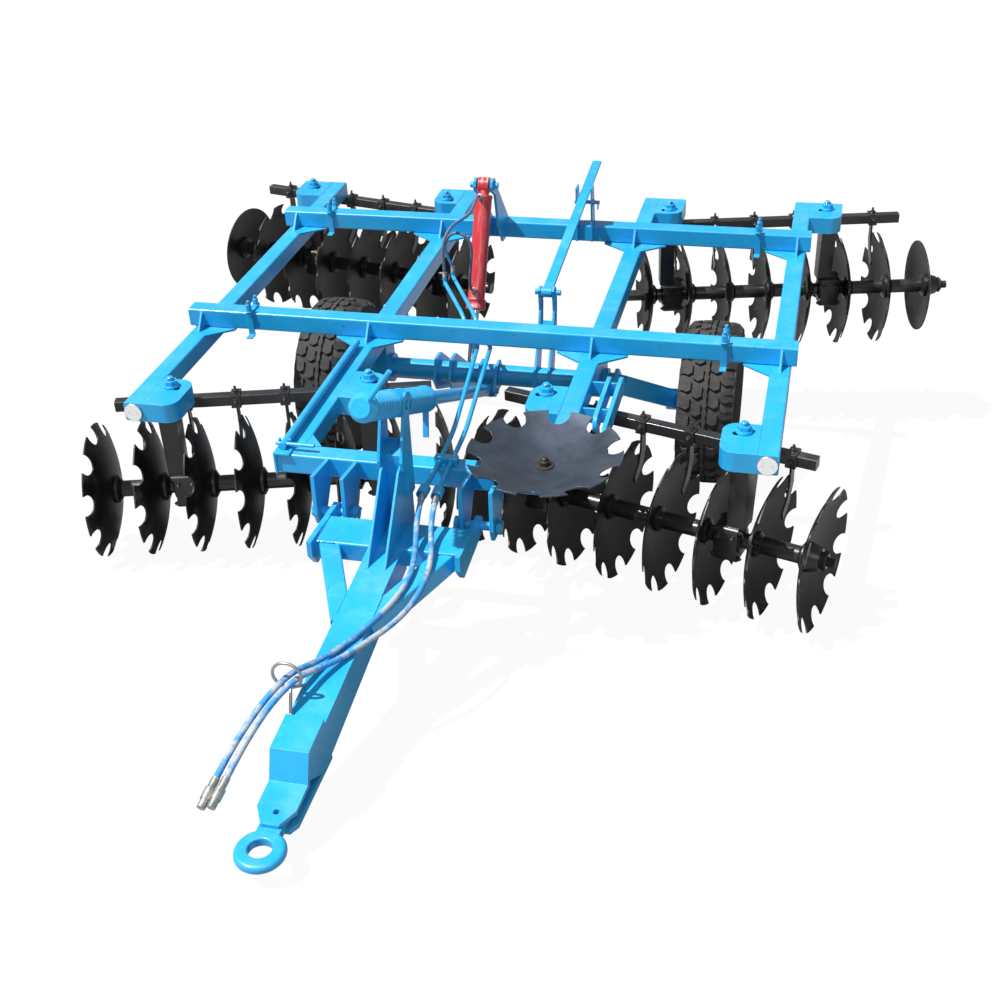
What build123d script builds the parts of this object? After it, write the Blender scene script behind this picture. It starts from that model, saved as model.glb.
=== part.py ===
"""Trailed tandem disc harrow: a welded frame on two lift wheels, four disc gangs and a drawbar.

Everything is modelled square to its own frame: X to the right, Y to the rear, Z up, with the
origin on the front face and top of the front cross beam. At the end the whole machine is leaned
forward until its wheels and front discs stand on the floor, as it parks.
"""
from build123d import *
from math import asin, atan2, cos, degrees, hypot, radians, sin, sqrt, tan
import os

os.makedirs("parts", exist_ok=True)

# Frame tubes
TUBE = 80
TUBE_ROUND = 8
CROSS_HALF = 1300
REAR_CROSS_Y = 1170
OUTER_X = CROSS_HALF - 62
OUTER_FRONT = -700
OUTER_REAR = 1820
INNER_X = 478
INNER_REAR = 1790
LOW_TOP = -TUBE
LOW_BOTTOM = -2 * TUBE
RIB = 8
RIB_REACH = 62
CORNER_PLATE = (110, 85)

# Hitch beam across the front, and the ears that carry the drawbar
HITCH_FRONT = -975
HITCH_REAR = HITCH_FRONT + TUBE
HITCH_HALF = 525
EAR = 14
EAR_X = (215, 325)
DRAW_PIVOT = (-1095, -227)
DRAW_PIN = 16

# Disc gangs
DISC_R = 280
PLAIN_R = 228
DISC_THICK = 6
DISH = 62
PLAIN_DISH = 45
SEAT_R = 60
CORE_R = 20
PITCH = 201
NOTCHES = 10
NOTCH_R = 42
NOTCH_IN = 16
FRONT_Z = -514
REAR_Z = -522
FRONT_ANGLE = 15.6
REAR_ANGLE = 13.1
FRONT_START = (1468, -693)
REAR_START = (1823, 1876)
GANG_COUNT = 8
SPOOL_R = 34
JOURNAL_R = 30
FLANGE_R = 58
COLLAR_R = 50
HOUSING = (90, 124, 150)
COLUMN_SHIFT = 30
SCRAPER_BAR = 46
SCRAPER_UP = 322
SCRAPER_THICK = 8

# Boxes at the beam ends: x range, y range, rounded corner, bolt and the disc outward of the bearing
BOX_PLATE = 10
BOX_ROUND = 58
BOX_SLOT = (90, 30)
BOXES = {
    "front_outer": ((OUTER_X - 178, OUTER_X - 38), (-700, -480), (OUTER_X - 178, -480), (OUTER_X - 98, -545), 2),
    "front_inner": ((INNER_X - 178, INNER_X - 38), (-520, -300), (INNER_X - 178, -300), (INNER_X - 115, -365), 6),
    "rear_outer": ((OUTER_X + 38, OUTER_X + 193), (1612, 1820), (OUTER_X + 193, 1612), (OUTER_X + 119, 1735), 3),
    "rear_inner": ((INNER_X + 38, INNER_X + 172), (1582, 1788), (INNER_X + 172, 1582), (INNER_X + 107, 1640), 7),
}

# Lift shaft, wheels and the levers on the shaft
SHAFT = (165, -300)
SHAFT_R = 45
SHAFT_HALF = 562
HUB = (730, -665)
WHEEL_X = 909
TYRE_R = 380
TYRE_W = 254
RIM_R = 205
LEVER = 12
LEVER_GAP = 34
LIFT_PIN = (540, -530)
LIFT_X = -200
LEVEL_PIN = (90, -338.6)
LEVEL_GAP = 36
LIFT_SLOT = 27
TRUNNION_SLOT = (-3, -4)
LOCK_X = 235
LOCK_PIN = (279, 52)

# Lift cylinder between the mast and the lift lever
MAST_PIN = (974, 254)
MAST_GAP = 40
BARREL_R = 40
BARREL_LENGTH = 575
ROD_R = 19
PIN_R = 14

# Levelling rod between the drawbar post and the lift shaft
ROD_FRONT = (-1412, 397)
TRUNNION_Y = -1108
SPRING_ENDS = (-1158, -798)
LEVEL_ROD_R = 20
LEVEL_TUBE_R = 26
SPRING_R = 49

# Lock bar
LOCK_END = (1513, 195)
LOCK_BAR = (44, 14)

# Drawbar
BAR_W = 120
BAR_H = 120
BAR_SLOPE = 0.084
PB_FRONT = -1340
PB_REAR = -1178
PB_TOP = -187
PB_BOTTOM = -260
PB_HALF = 255
POST_FRONT = -1172
POST_REAR = -1102
POST_TOP = 200
POST_W = 70
BEND_TOP = -2277
BEND_LOW = (-2305, -340)
PLATE = 20
PLATE_END = -2479
EYE = (-2555, -379)
EYE_R = 75
EYE_BORE = 35
EYE_THICK = 32
EYE_ROUND = 5

# Spare disc
SPARE = (469, -907)
SPARE_TILT = 2

# Stowed legs beside the right-hand inner beam: x, front end and rear end
LEG_THICK = 16
LEG_TALL = 76
LEG_TOP = -81
LEGS = ((581, -532, -160), (629, -629, -156))

# Stowed jack pipe along the left-hand inner beam
STOWED_X = -503
STOWED_R = 15
STOWED_Z = -56.7
STOWED_Y = (-960, -92)

# Straps with screws round the cross beams, by their x
STRAPS = {0: (-1012, 1012), REAR_CROSS_Y: (-1056, 1056)}
STRAP = (26, 8)

# Oil pipes on the frame: their centre lines
PIPE_R = 9
PIPE_LEFT = (
    (-286, 521, -18), (-286, 521, -46), (-112, 168, -24), (-62, 108, -110), (-22, 66, -112),
    (87, -740, -70), (91, -1000, -70), (85, -1122, -79),
)
PIPE_RIGHT = (
    (-270, 602, -22), (-270, 602, -50), (-62, 174, -24), (-8, 108, -110), (34, 66, -112),
    (132, -740, -70), (134, -1000, -70), (136, -1124, -80),
)
SOCKET_R = 20
SOCKET_BORE = 16
SOCKET = 34

# Hoses: centre lines, radius and the couplers at the tractor end
HOSE_R = 10
HOSE_LEFT = (
    (85, -1147, -82), (90, -1210, -94), (97, -1283, -132), (118, -1370, -172), (132, -1500, -193),
    (107, -1626, -203), (60, -1748, -211), (4, -1850, -222.6), (-44, -1950, -207), (-79, -2035, -176),
    (-118, -2145, -190), (-152, -2250, -226), (-172, -2350, -258), (-182, -2441, -284),
)
HOSE_RIGHT = (
    (136, -1149, -84), (138, -1214, -104), (150, -1290, -148), (177, -1380, -176), (187, -1492, -192),
    (174, -1612, -205), (137, -1724, -210), (80, -1812, -216), (22, -1903, -220), (-25, -1985, -200),
    (-56, -2060, -178), (-92, -2160, -188), (-122, -2260, -222), (-140, -2355, -254), (-150, -2441, -278),
)
COUPLER = 62
LOOP_R = 7
LOOP_UPPER = (
    (-200, 891.1, 226.8), (-200, 856, 246.4), (-199, 816, 252), (-199, 776, 240), (-202, 735, 222),
    (-212, 688, 212), (-230, 640, 210), (-254, 590, 206), (-276, 548, 178), (-287, 524, 130),
    (-286, 521, 70), (-286, 521, -17.7),
)
LOOP_LOWER = (
    (-200, 683.8, -147.7), (-200, 649, -128.4), (-199, 624, -97), (-194, 613, -48), (-184, 612, 20),
    (-176, 610, 92), (-196, 608, 146), (-240, 606, 168), (-284, 604, 146), (-304, 602, 92),
    (-284, 602, 34), (-270, 602, -2), (-270, 602, -21.7),
)
HOLDER = (-76, -2071, -158)
HOLDER_R = 46
HOLDER_WIRE = 5

FIT = 0.3
RUN = 0.08
nodes = {}


def keep(builder, label, mirrored=None):
    """File a finished piece under its name, and its mirror image for the other side."""
    nodes[label] = builder.part
    if mirrored:
        nodes[mirrored] = mirror(builder.part, about=Plane.YZ)


def push(sketch, amount, mode=Mode.ADD):
    """Pull a finished sketch out along its normal, into the part being built."""
    extrude(sketch.sketch, amount=amount, mode=mode)


def beam_x(x0, x1, y0, z_top, depth=TUBE, height=TUBE, corner=TUBE_ROUND):
    """A square tube that runs across the machine."""
    with BuildSketch(Plane.YZ.offset(x0)) as section:
        with Locations((y0 + depth / 2, z_top - height / 2)):
            RectangleRounded(depth, height, corner)
    push(section, x1 - x0)


def beam_y(x, y0, y1, z_top, width=TUBE, height=TUBE, corner=TUBE_ROUND):
    """A square tube that runs lengthwise."""
    with BuildSketch(Plane.XZ.offset(-y1)) as section:
        with Locations((x, z_top - height / 2)):
            RectangleRounded(width, height, corner)
    push(section, y1 - y0)


def outlined(plane, corners, thick, mode=Mode.ADD):
    """A plate with the given corners on a plane, pulled out along the plane's normal."""
    with BuildSketch(plane) as face:
        with BuildLine():
            Polyline(*corners, close=True)
        make_face()
    push(face, thick, mode)


def side_plate(x, thick, corners, mode=Mode.ADD):
    """A plate that stands lengthwise, centred on x, its corners given as (y, z)."""
    outlined(Plane.YZ.offset(x - thick / 2), corners, thick, mode)


def flat_plate(z_top, thick, corners, mode=Mode.ADD):
    """A level plate whose corners are given as (x, y)."""
    outlined(Plane.XY.offset(z_top - thick), corners, thick, mode)


def round_x(x0, x1, centre, radius, mode=Mode.ADD):
    """A round pin, boss or hole across the machine, its centre given as (y, z)."""
    with BuildSketch(Plane.YZ.offset(min(x0, x1))) as face:
        with Locations(centre):
            Circle(radius)
    push(face, abs(x1 - x0), mode)


def hex_x(x0, x1, centre, across, mode=Mode.ADD):
    """A hexagon nut or bolt head across the machine."""
    with BuildSketch(Plane.YZ.offset(min(x0, x1))) as face:
        with Locations(centre):
            RegularPolygon(across / 2, 6, major_radius=False)
    push(face, abs(x1 - x0), mode)


def tube_between(start, end, width, height, corner=8):
    """A straight tube between two points, its width kept level."""
    along = Vector(*end) - Vector(*start)
    level = Vector(along.Y, -along.X, 0).normalized()
    with BuildSketch(Plane(origin=start, x_dir=level, z_dir=along)) as section:
        RectangleRounded(width, height, corner)
    push(section, along.length)


# Cross beams with their stiffening ribs at each crossing
CROSSINGS = (-OUTER_X, -INNER_X, INNER_X, OUTER_X)
for label, y0 in (("front_cross_beam", 0), ("rear_cross_beam", REAR_CROSS_Y)):
    with BuildPart() as cross:
        beam_x(-CROSS_HALF, CROSS_HALF, y0, 0)
        for x in CROSSINGS:
            side_plate(x, RIB, ((y0 + 2, -6), (y0 - RIB_REACH, LOW_TOP), (y0 + 2, LOW_TOP)))
    keep(cross, label)


def corner_plates(x, sides):
    """Flat corner plates under each cross beam, beside a lengthwise beam."""
    across, along = CORNER_PLATE
    for y0 in (0, REAR_CROSS_Y):
        for side in sides:
            edge = x + side * (TUBE / 2 - 3)
            far = edge + side * across
            corners = ((edge, y0 - along), (far, y0 - 4), (far, y0 + TUBE - 10), (edge, y0 + TUBE - 10))
            flat_plate(LOW_TOP - FIT, RIB, corners)


def pivot_box(name):
    """A box of plates on a beam's side, with the slot for the bolt that holds the gang."""
    (x0, x1), (y0, y1), corner, bolt, index = BOXES[name]
    with BuildSketch(Plane.XY.offset(LOW_BOTTOM)) as outline:
        with Locations(((x0 + x1) / 2, (y0 + y1) / 2)):
            Rectangle(x1 - x0, y1 - y0)
        near = outline.vertices().sort_by_distance((*corner, LOW_BOTTOM))[0]
        if "front" in name:
            front = outline.vertices().sort_by_distance((corner[0], y0, LOW_BOTTOM))[0]
            fillet((near, front), BOX_ROUND)
        else:
            fillet(near, BOX_ROUND)
    push(outline, TUBE)
    with BuildSketch(Plane.XY.offset(LOW_BOTTOM - 1)) as slot:
        with Locations(bolt):
            SlotOverall(*BOX_SLOT, rotation=25)
    push(slot, TUBE + 2, Mode.SUBTRACT)


# Lengthwise beams with their pivot boxes
with BuildPart() as outer_beam:
    beam_y(OUTER_X, OUTER_FRONT, OUTER_REAR, LOW_TOP)
    corner_plates(OUTER_X, (-1,))
    pivot_box("front_outer")
    pivot_box("rear_outer")
keep(outer_beam, "outer_beam_right", "outer_beam_left")

with BuildPart() as inner_beam:
    beam_y(INNER_X, HITCH_REAR + FIT, INNER_REAR, LOW_TOP)
    corner_plates(INNER_X, (-1, 1))
    pivot_box("front_inner")
    pivot_box("rear_inner")
keep(inner_beam, "inner_beam_right", "inner_beam_left")

# Hitch beam and the ears that carry the drawbar
EAR_OUTLINE = (
    (HITCH_FRONT + 4, -82), (-1000, -79), (-1135, -60), (-1145, -217), (-1130, -262), (-1060, -268),
    (HITCH_FRONT + 4, -158),
)
with BuildPart() as hitch_beam:
    beam_x(-HITCH_HALF, HITCH_HALF, HITCH_FRONT, LOW_TOP)
    for side in (-1, 1):
        for x in EAR_X:
            side_plate(side * x, EAR, EAR_OUTLINE)
            round_x(side * x - EAR, side * x + EAR, DRAW_PIVOT, DRAW_PIN + RUN, Mode.SUBTRACT)
        inner = INNER_X - TUBE / 2
        corners = ((side * inner, HITCH_REAR + 78), (side * inner, HITCH_REAR), (side * (inner - 62), HITCH_REAR))
        flat_plate(LOW_TOP, 8, corners)
    end = -HITCH_HALF - 8
    flat_plate(LOW_TOP + 8, 8, ((-470, -985), (end, -985), (end, -925), (-470, -925)))
    side_plate(end + 4, 8, ((-985, LOW_TOP + 8), (-925, LOW_TOP + 8), (-925, LOW_BOTTOM), (-985, LOW_BOTTOM)))
    for side in (-1, 1):
        lug = ((-933, LOW_TOP + 6), (-925, LOW_TOP + 6), (-925, LOW_TOP + 40), (-933, LOW_TOP + 40))
        side_plate(STOWED_X + side * (STOWED_R + 5), 8, lug)
keep(hitch_beam, "hitch_beam")

# White round reflectors on the front ends of the outer beams
with BuildPart() as reflectors:
    for side in (-1, 1):
        with BuildSketch(Plane.XZ.offset(-OUTER_FRONT + FIT)):
            with Locations((side * OUTER_X, (LOW_TOP + LOW_BOTTOM) / 2)):
                Circle(36)
        extrude(amount=8)
keep(reflectors, "reflectors")


def gang_plane(start, height, angle):
    """The plane of a right-hand gang: x outward along its shaft, y to the rear, z up."""
    outward = Vector(cos(radians(angle)), -sin(radians(angle)), 0)
    return Plane(origin=(*start, height), x_dir=outward, z_dir=(0, 0, 1))


FRONT_PLANE = gang_plane(FRONT_START, FRONT_Z, FRONT_ANGLE)
REAR_PLANE = gang_plane(REAR_START, REAR_Z, -REAR_ANGLE)


def drop_at(radius, depth, reach):
    """How far a dished disc has curved away from its rim plane at a smaller radius."""
    ball = (radius**2 + depth**2) / (2 * depth)
    return sqrt(ball**2 - reach**2) - (ball - depth)


def seat_of(radius, depth):
    """How far the flat seat in the middle stands behind the rim plane."""
    return drop_at(radius, depth, SEAT_R)


def rim_station(index):
    """Where the rim of disc number index stands along its gang, inward from the first."""
    return -(index - 1) * PITCH


def flat_of(index, dish):
    """The two faces of the flat seat of disc number index, inner face first."""
    near = rim_station(index) + dish * seat_of(DISC_R, DISH)
    far = near + dish * DISC_THICK
    return min(near, far), max(near, far)


def bearing_station(index, dish):
    """The middle of the spool on the inner side of disc number index."""
    return (flat_of(index, dish)[0] + flat_of(index + 1, dish)[1]) / 2


def make_disc(radius, depth, dish, notched):
    """One disc about the X axis, its rim in the plane X = 0."""
    seat = drop_at(radius, depth, SEAT_R)
    middle_r = (radius + SEAT_R) / 2
    middle = drop_at(radius, depth, middle_r)
    back = DISC_THICK
    with BuildPart() as disc:
        with BuildSketch(Plane.XY):
            with BuildLine():
                Polyline(
                    (dish * seat, SEAT_R), (dish * seat, CORE_R + RUN),
                    (dish * (seat + back), CORE_R + RUN), (dish * (seat + back), SEAT_R),
                )
                ThreePointArc(
                    (dish * (seat + back), SEAT_R), (dish * (middle + back), middle_r), (dish * back, radius)
                )
                Line((dish * back, radius), (0, radius))
                ThreePointArc((0, radius), (dish * middle, middle_r), (dish * seat, SEAT_R))
            make_face()
        revolve(axis=Axis.X)
        if notched:
            with BuildSketch(Plane.YZ.offset(-2 * depth)):
                with PolarLocations(radius - NOTCH_IN, NOTCHES):
                    Circle(NOTCH_R)
            extrude(amount=4 * depth, mode=Mode.SUBTRACT)
    return disc.part


# How far each disc's notches are turned, outermost first, in degrees
FRONT_TURNS = (0, 12, 24, 3, 31, 18, 8, 27)
REAR_TURNS = (0, 14, 30, 5, 22, 11, 33, 19)


def gang_discs(plane, dish, turns, plain_first):
    """All the discs of a gang, as separate solids at their stations."""
    notched = make_disc(DISC_R, DISH, dish, True)
    plain = make_disc(PLAIN_R, PLAIN_DISH, dish, False)
    shift = dish * (seat_of(DISC_R, DISH) - seat_of(PLAIN_R, PLAIN_DISH))
    with BuildPart() as discs:
        for index, turn in enumerate(turns, start=1):
            if plain_first and index == 1:
                add(plain.moved(plane.location * Location((rim_station(index) + shift, 0, 0))))
            else:
                place = Location((rim_station(index), 0, 0), (90 + turn, 0, 0))
                add(notched.moved(plane.location * place))
    return discs


def gang_shaft(plane, dish, bearings, inner_end):
    """The through shaft with its spools, end cups and nuts, turned as one profile."""
    gap = 0.2
    first = flat_of(1, dish)
    last = flat_of(GANG_COUNT, dish)
    steps = [
        (first[1] + 96, 0), (first[1] + 96, 16), (first[1] + 74, 16), (first[1] + 74, 30),
        (first[1] + 50, 30), (first[1] + 48, 44), (first[1] + 6, FLANGE_R), (first[1] + gap, FLANGE_R),
    ]
    for index in range(1, GANG_COUNT):
        near, far = flat_of(index, dish)
        stop = flat_of(index + 1, dish)[1]
        middle = JOURNAL_R if index in bearings else SPOOL_R
        steps += [(far + gap, CORE_R), (near - gap, CORE_R), (near - gap, FLANGE_R), (near - 12, FLANGE_R)]
        steps += [(near - 26, middle), (stop + 22, middle), (stop + 10, COLLAR_R), (stop + gap, COLLAR_R)]
    steps += [(last[1] + gap, CORE_R), (last[0] - gap, CORE_R), (last[0] - gap, COLLAR_R)]
    steps += [(last[0] - 10, COLLAR_R), (last[0] - 12, 28), (last[0] - inner_end, 28), (last[0] - inner_end, 0)]
    with BuildPart() as shaft:
        with BuildSketch(plane):
            with BuildLine():
                Polyline(*steps, close=True)
            make_face()
        revolve(axis=Axis(plane.origin, plane.x_dir))
    return shaft


def gang_section(plane, station):
    """A plane across a gang's shaft: x to the rear, y up, its normal outward."""
    return Plane(origin=plane.from_local_coords(Vector(station, 0, 0)), x_dir=plane.y_dir, z_dir=plane.x_dir)


def hanger(plane, dish, back, name):
    """A bearing housing on its column, with the bolt that holds it in the pivot box."""
    (x0, x1), (y0, y1), corner, bolt, index = BOXES[name]
    along, deep, tall = HOUSING
    station = bearing_station(index, dish)
    top = LOW_BOTTOM - plane.origin.Z - FIT
    local = plane.to_local_coords(Vector(*bolt, 0))
    face = gang_section(plane, station - along / 2)
    with BuildSketch(face) as body:
        RectangleRounded(deep, tall, 20)
    push(body, along)
    middle = station - dish * COLUMN_SHIFT
    low, high = min(0, local.Y) - 38, max(0, local.Y) + 38
    outlined(gang_section(plane, middle - 35), ((-40, tall / 2 - 8), (low, top), (high, top), (46, tall / 2 - 8)), 70)
    reach = back - SCRAPER_BAR / 2
    arm = ((0, SCRAPER_UP - 16), (reach, SCRAPER_UP - 16), (reach, SCRAPER_UP + 12), (0, SCRAPER_UP + 12))
    outlined(gang_section(plane, middle - 20), arm, 40)
    with BuildSketch(gang_section(plane, station - along)) as bore:
        Circle(JOURNAL_R + RUN)
    push(bore, 2 * along, Mode.SUBTRACT)
    with BuildSketch(Plane.XY.offset(LOW_BOTTOM - 14 - FIT)) as pad:
        with Locations(bolt):
            Rectangle(96, 96, rotation=degrees(atan2(plane.x_dir.Y, plane.x_dir.X)))
    push(pad, 14)
    for z, radius, height in ((LOW_BOTTOM - 4, 13, TUBE + 42), (LOW_TOP + FIT, 32, 8)):
        with BuildSketch(Plane.XY.offset(z)) as stem:
            with Locations(bolt):
                Circle(radius)
        push(stem, height)
    with BuildSketch(Plane.XY.offset(LOW_TOP + 8)) as nut:
        with Locations(bolt):
            RegularPolygon(23, 6, major_radius=False)
    push(nut, 22)


def scraper_bar(plane, dish, back, outer, inner):
    """The square bar behind a gang, with its clamps and a scraper for each disc it reaches."""
    side = -dish
    with BuildPart() as bar:
        with BuildSketch(gang_section(plane, inner)) as section:
            with Locations((back, SCRAPER_UP)):
                RectangleRounded(SCRAPER_BAR, SCRAPER_BAR, 5)
        push(section, outer - inner)
        for index in range(1, GANG_COUNT + 1):
            near = rim_station(index) + side * 8
            blade = near if side > 0 else near - SCRAPER_THICK
            if not inner < blade < outer - 20:
                continue
            corners = (
                (back - 18, SCRAPER_UP - 14), (back + 18, SCRAPER_UP - 14), (back + 22, 205), (back - 10, 140),
                (64, 92), (50, 122), (back - 44, 160), (back - 22, 215),
            )
            outlined(gang_section(plane, blade), corners, SCRAPER_THICK)
            with BuildSketch(gang_section(plane, blade - 16)) as clamp:
                with Locations((back, SCRAPER_UP)):
                    Rectangle(SCRAPER_BAR + 16, SCRAPER_BAR + 12)
            push(clamp, 40)
    return bar


GANGS = (
    ("front", FRONT_PLANE, -1, FRONT_TURNS, False, (2, 6), 26, 135, -95, -1395),
    ("rear", REAR_PLANE, 1, REAR_TURNS, True, (3, 7), 180, 135, -80, -1310),
)
for name, plane, dish, turns, plain, bearings, inner_end, back, outer, inner in GANGS:
    keep(gang_discs(plane, dish, turns, plain), f"discs_{name}_right", f"discs_{name}_left")
    shaft = gang_shaft(plane, dish, bearings, inner_end)
    keep(shaft, f"gang_shaft_{name}_right", f"gang_shaft_{name}_left")
    with BuildPart() as hangers:
        hanger(plane, dish, back, f"{name}_outer")
        hanger(plane, dish, back, f"{name}_inner")
    keep(hangers, f"gang_hangers_{name}_right", f"gang_hangers_{name}_left")
    bar = scraper_bar(plane, dish, back, outer, inner)
    keep(bar, f"scraper_bar_{name}_right", f"scraper_bar_{name}_left")

# Bearing blocks that hang the lift shaft under the inner beams
with BuildPart() as shaft_bearings:
    for side in (-1, 1):
        centre = side * INNER_X
        y, z = SHAFT
        top = LOW_BOTTOM - FIT
        side_plate(centre, 56, ((y - 52, top), (y + 52, top), (y + 62, z), (y - 62, z)))
        round_x(centre - 42, centre + 42, SHAFT, SHAFT_R + 18)
        round_x(centre - 44, centre + 44, SHAFT, SHAFT_R + RUN, Mode.SUBTRACT)
keep(shaft_bearings, "shaft_bearings")


def slot_x(x0, x1, start, end, radius):
    """A hole with round ends cut crosswise, from one (y, z) centre to another."""
    run = (end[0] - start[0], end[1] - start[1])
    with BuildSketch(Plane.YZ.offset(x0)) as section:
        with Locations(((start[0] + end[0]) / 2, (start[1] + end[1]) / 2)):
            SlotCenterToCenter(hypot(*run), 2 * radius, rotation=degrees(atan2(run[1], run[0])))
    push(section, x1 - x0, Mode.SUBTRACT)


def lever(start, end, root_r, tip_r):
    """Corners of a lever that narrows from a hub to an eye."""
    angle = atan2(end[1] - start[1], end[0] - start[0])
    ax, az = cos(angle), sin(angle)
    nx, nz = -az, ax
    shape = (
        (start, -0.8, 0.6, root_r), (start, 0, 1, root_r), (end, 0, 1, tip_r), (end, 0.7, 0.7, tip_r),
        (end, 1, 0, tip_r), (end, 0.7, -0.7, tip_r), (end, 0, -1, tip_r), (start, 0, -1, root_r),
        (start, -0.8, -0.6, root_r),
    )
    return [(c[0] + (u * ax + v * nx) * r, c[1] + (u * az + v * nz) * r) for c, u, v, r in shape]


# The lock arms bend rearward so that they clear the front cross beam when the wheels are up
LOCK_ARM = (
    (128, -262), (225, -120), (268, -30), (262, 30), (256, 66), (279, 80), (303, 68), (314, 40), (320, -10),
    (304, -110), (236, -290), (165, -352), (112, -310),
)

# Lift shaft: pipe, wheel arms, the lift lever, the levelling lug and the lock arms
with BuildPart() as lift_shaft:
    round_x(-SHAFT_HALF, SHAFT_HALF, SHAFT, SHAFT_R)
    for side in (-1, 1):
        tube_between((side * 560, SHAFT[0] + 10, SHAFT[1] - 8), (side * 738, HUB[0], HUB[1]), 64, 86)
        side_plate(side * 553, 16, lever(SHAFT, (SHAFT[0] + 80, SHAFT[1] - 52), 64, 46))
        round_x(side * 706, side * 776, HUB, 50)
        round_x(side * 770, side * (WHEEL_X + 18), HUB, 24)
    for x in (LIFT_X - LEVER_GAP, LIFT_X + LEVER_GAP):
        side_plate(x, LEVER, lever(SHAFT, LIFT_PIN, 82, 36))
        reach = Vector(SHAFT[0] - LIFT_PIN[0], SHAFT[1] - LIFT_PIN[1], 0).normalized() * LIFT_SLOT
        slot_x(x - LEVER, x + LEVER, LIFT_PIN, (LIFT_PIN[0] + reach.X, LIFT_PIN[1] + reach.Y), PIN_R + 3.6)
    for x in (-LEVEL_GAP, LEVEL_GAP):
        side_plate(x, LEVER, lever(SHAFT, LEVEL_PIN, 66, 28))
    for x in (LOCK_X - 30, LOCK_X + 30):
        side_plate(x, 10, LOCK_ARM)
    side_plate(LOCK_X, 60, ((214, -160), (226, -164), (272, -80), (262, -72)))
    round_x(-LEVEL_GAP - 16, LEVEL_GAP + 16, LEVEL_PIN, 12)
    round_x(LOCK_X - 50, LOCK_X + 60, LOCK_PIN, 12)
keep(lift_shaft, "lift_shaft")

# Wheels: tyre and rim
TYRE_OUTLINE = (
    (RIM_R, 0.36), (RIM_R + 14, 0.44), (TYRE_R * 0.74, 0.5), (TYRE_R * 0.88, 0.49),
    (TYRE_R * 0.955, 0.44), (TYRE_R * 0.992, 0.36), (TYRE_R, 0.18),
)
WHEEL_PLANE = Plane(origin=(WHEEL_X, *HUB), x_dir=(1, 0, 0), z_dir=(0, -1, 0))
with BuildPart() as tyre:
    with BuildSketch(WHEEL_PLANE):
        with BuildLine():
            right_side = [(width * TYRE_W, radius) for radius, width in TYRE_OUTLINE]
            left_side = [(-width * TYRE_W, radius) for radius, width in reversed(TYRE_OUTLINE)]
            Polyline(*right_side, *left_side, close=True)
        make_face()
    revolve(axis=Axis((WHEEL_X, *HUB), (1, 0, 0)))
keep(tyre, "tyre_right", "tyre_left")

with BuildPart() as rim:
    with BuildSketch(WHEEL_PLANE):
        with BuildLine():
            Polyline(
                (-92, RIM_R - FIT), (92, RIM_R - FIT), (92, RIM_R - 12), (42, RIM_R - 26), (38, 150),
                (20, 112), (20, 74), (36, 66), (36, 30), (48, 28), (48, 0), (-76, 0), (-76, 48),
                (-10, 66), (8, 78), (8, 112), (26, 152), (28, RIM_R - 26), (-92, RIM_R - 12), close=True,
            )
        make_face()
    revolve(axis=Axis((WHEEL_X, *HUB), (1, 0, 0)))
    round_x(WHEEL_X - 80, WHEEL_X + 20, HUB, 24 + RUN, Mode.SUBTRACT)
keep(rim, "rim_right", "rim_left")

# Mast on the rear cross beam that holds the top of the lift cylinder
with BuildPart() as mast:
    y, z = MAST_PIN
    for x in (LIFT_X - MAST_GAP, LIFT_X + MAST_GAP):
        corners = (
            (y - 34, z), (y - 26, z + 24), (y, z + 36), (y + 26, z + 24), (y + 40, z - 6),
            (REAR_CROSS_Y + TUBE - 14, 0), (REAR_CROSS_Y, 0), (REAR_CROSS_Y, -76),
            (REAR_CROSS_Y - 60, -76), (y + 60, 40), (y + 26, z - 56), (y - 4, z - 38), (y - 28, z - 22),
        )
        side_plate(x, LEVER, corners)
    round_x(LIFT_X - MAST_GAP - 26, LIFT_X + MAST_GAP + 26, MAST_PIN, PIN_R)
    side_plate(LIFT_X, 2 * MAST_GAP, ((REAR_CROSS_Y - 12, 20), (REAR_CROSS_Y - FIT, 20),
                                      (REAR_CROSS_Y - FIT, -60), (REAR_CROSS_Y - 12, -60)))
keep(mast, "cylinder_mast")

# Lift cylinder, laid out along the line from its top pin to the lift lever
CYL_DY = LIFT_PIN[0] - MAST_PIN[0]
CYL_DZ = LIFT_PIN[1] - MAST_PIN[1]
CYL_LENGTH = hypot(CYL_DY, CYL_DZ)
CYL_AXIS = Vector(0, CYL_DY / CYL_LENGTH, CYL_DZ / CYL_LENGTH)
CYL_PLANE = Plane(origin=(LIFT_X, *MAST_PIN), x_dir=(1, 0, 0), z_dir=CYL_AXIS)
CYL_FRONT = Vector(0, CYL_AXIS.Z, -CYL_AXIS.Y)

with BuildPart() as barrel:
    with BuildSketch(CYL_PLANE):
        Circle(24)
    extrude(amount=60)
    with BuildSketch(CYL_PLANE.offset(48)):
        Circle(BARREL_R)
    extrude(amount=BARREL_LENGTH - 48)
    with BuildSketch(CYL_PLANE.offset(BARREL_LENGTH - 46)):
        Circle(BARREL_R + 5)
    extrude(amount=46)
    for down in (64, BARREL_LENGTH - 83):
        port = CYL_PLANE.origin + CYL_AXIS * down
        with BuildSketch(Plane(origin=port, x_dir=(1, 0, 0), z_dir=CYL_FRONT).offset(ROD_R + 6)):
            Circle(13)
        extrude(amount=34)
    with BuildSketch(CYL_PLANE.offset(90)):
        Circle(ROD_R + 0.5)
    extrude(amount=BARREL_LENGTH, mode=Mode.SUBTRACT)
    round_x(LIFT_X - 24, LIFT_X + 24, MAST_PIN, 36)
    round_x(LIFT_X - 26, LIFT_X + 26, MAST_PIN, PIN_R + RUN, Mode.SUBTRACT)
keep(barrel, "cylinder_barrel")

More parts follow.
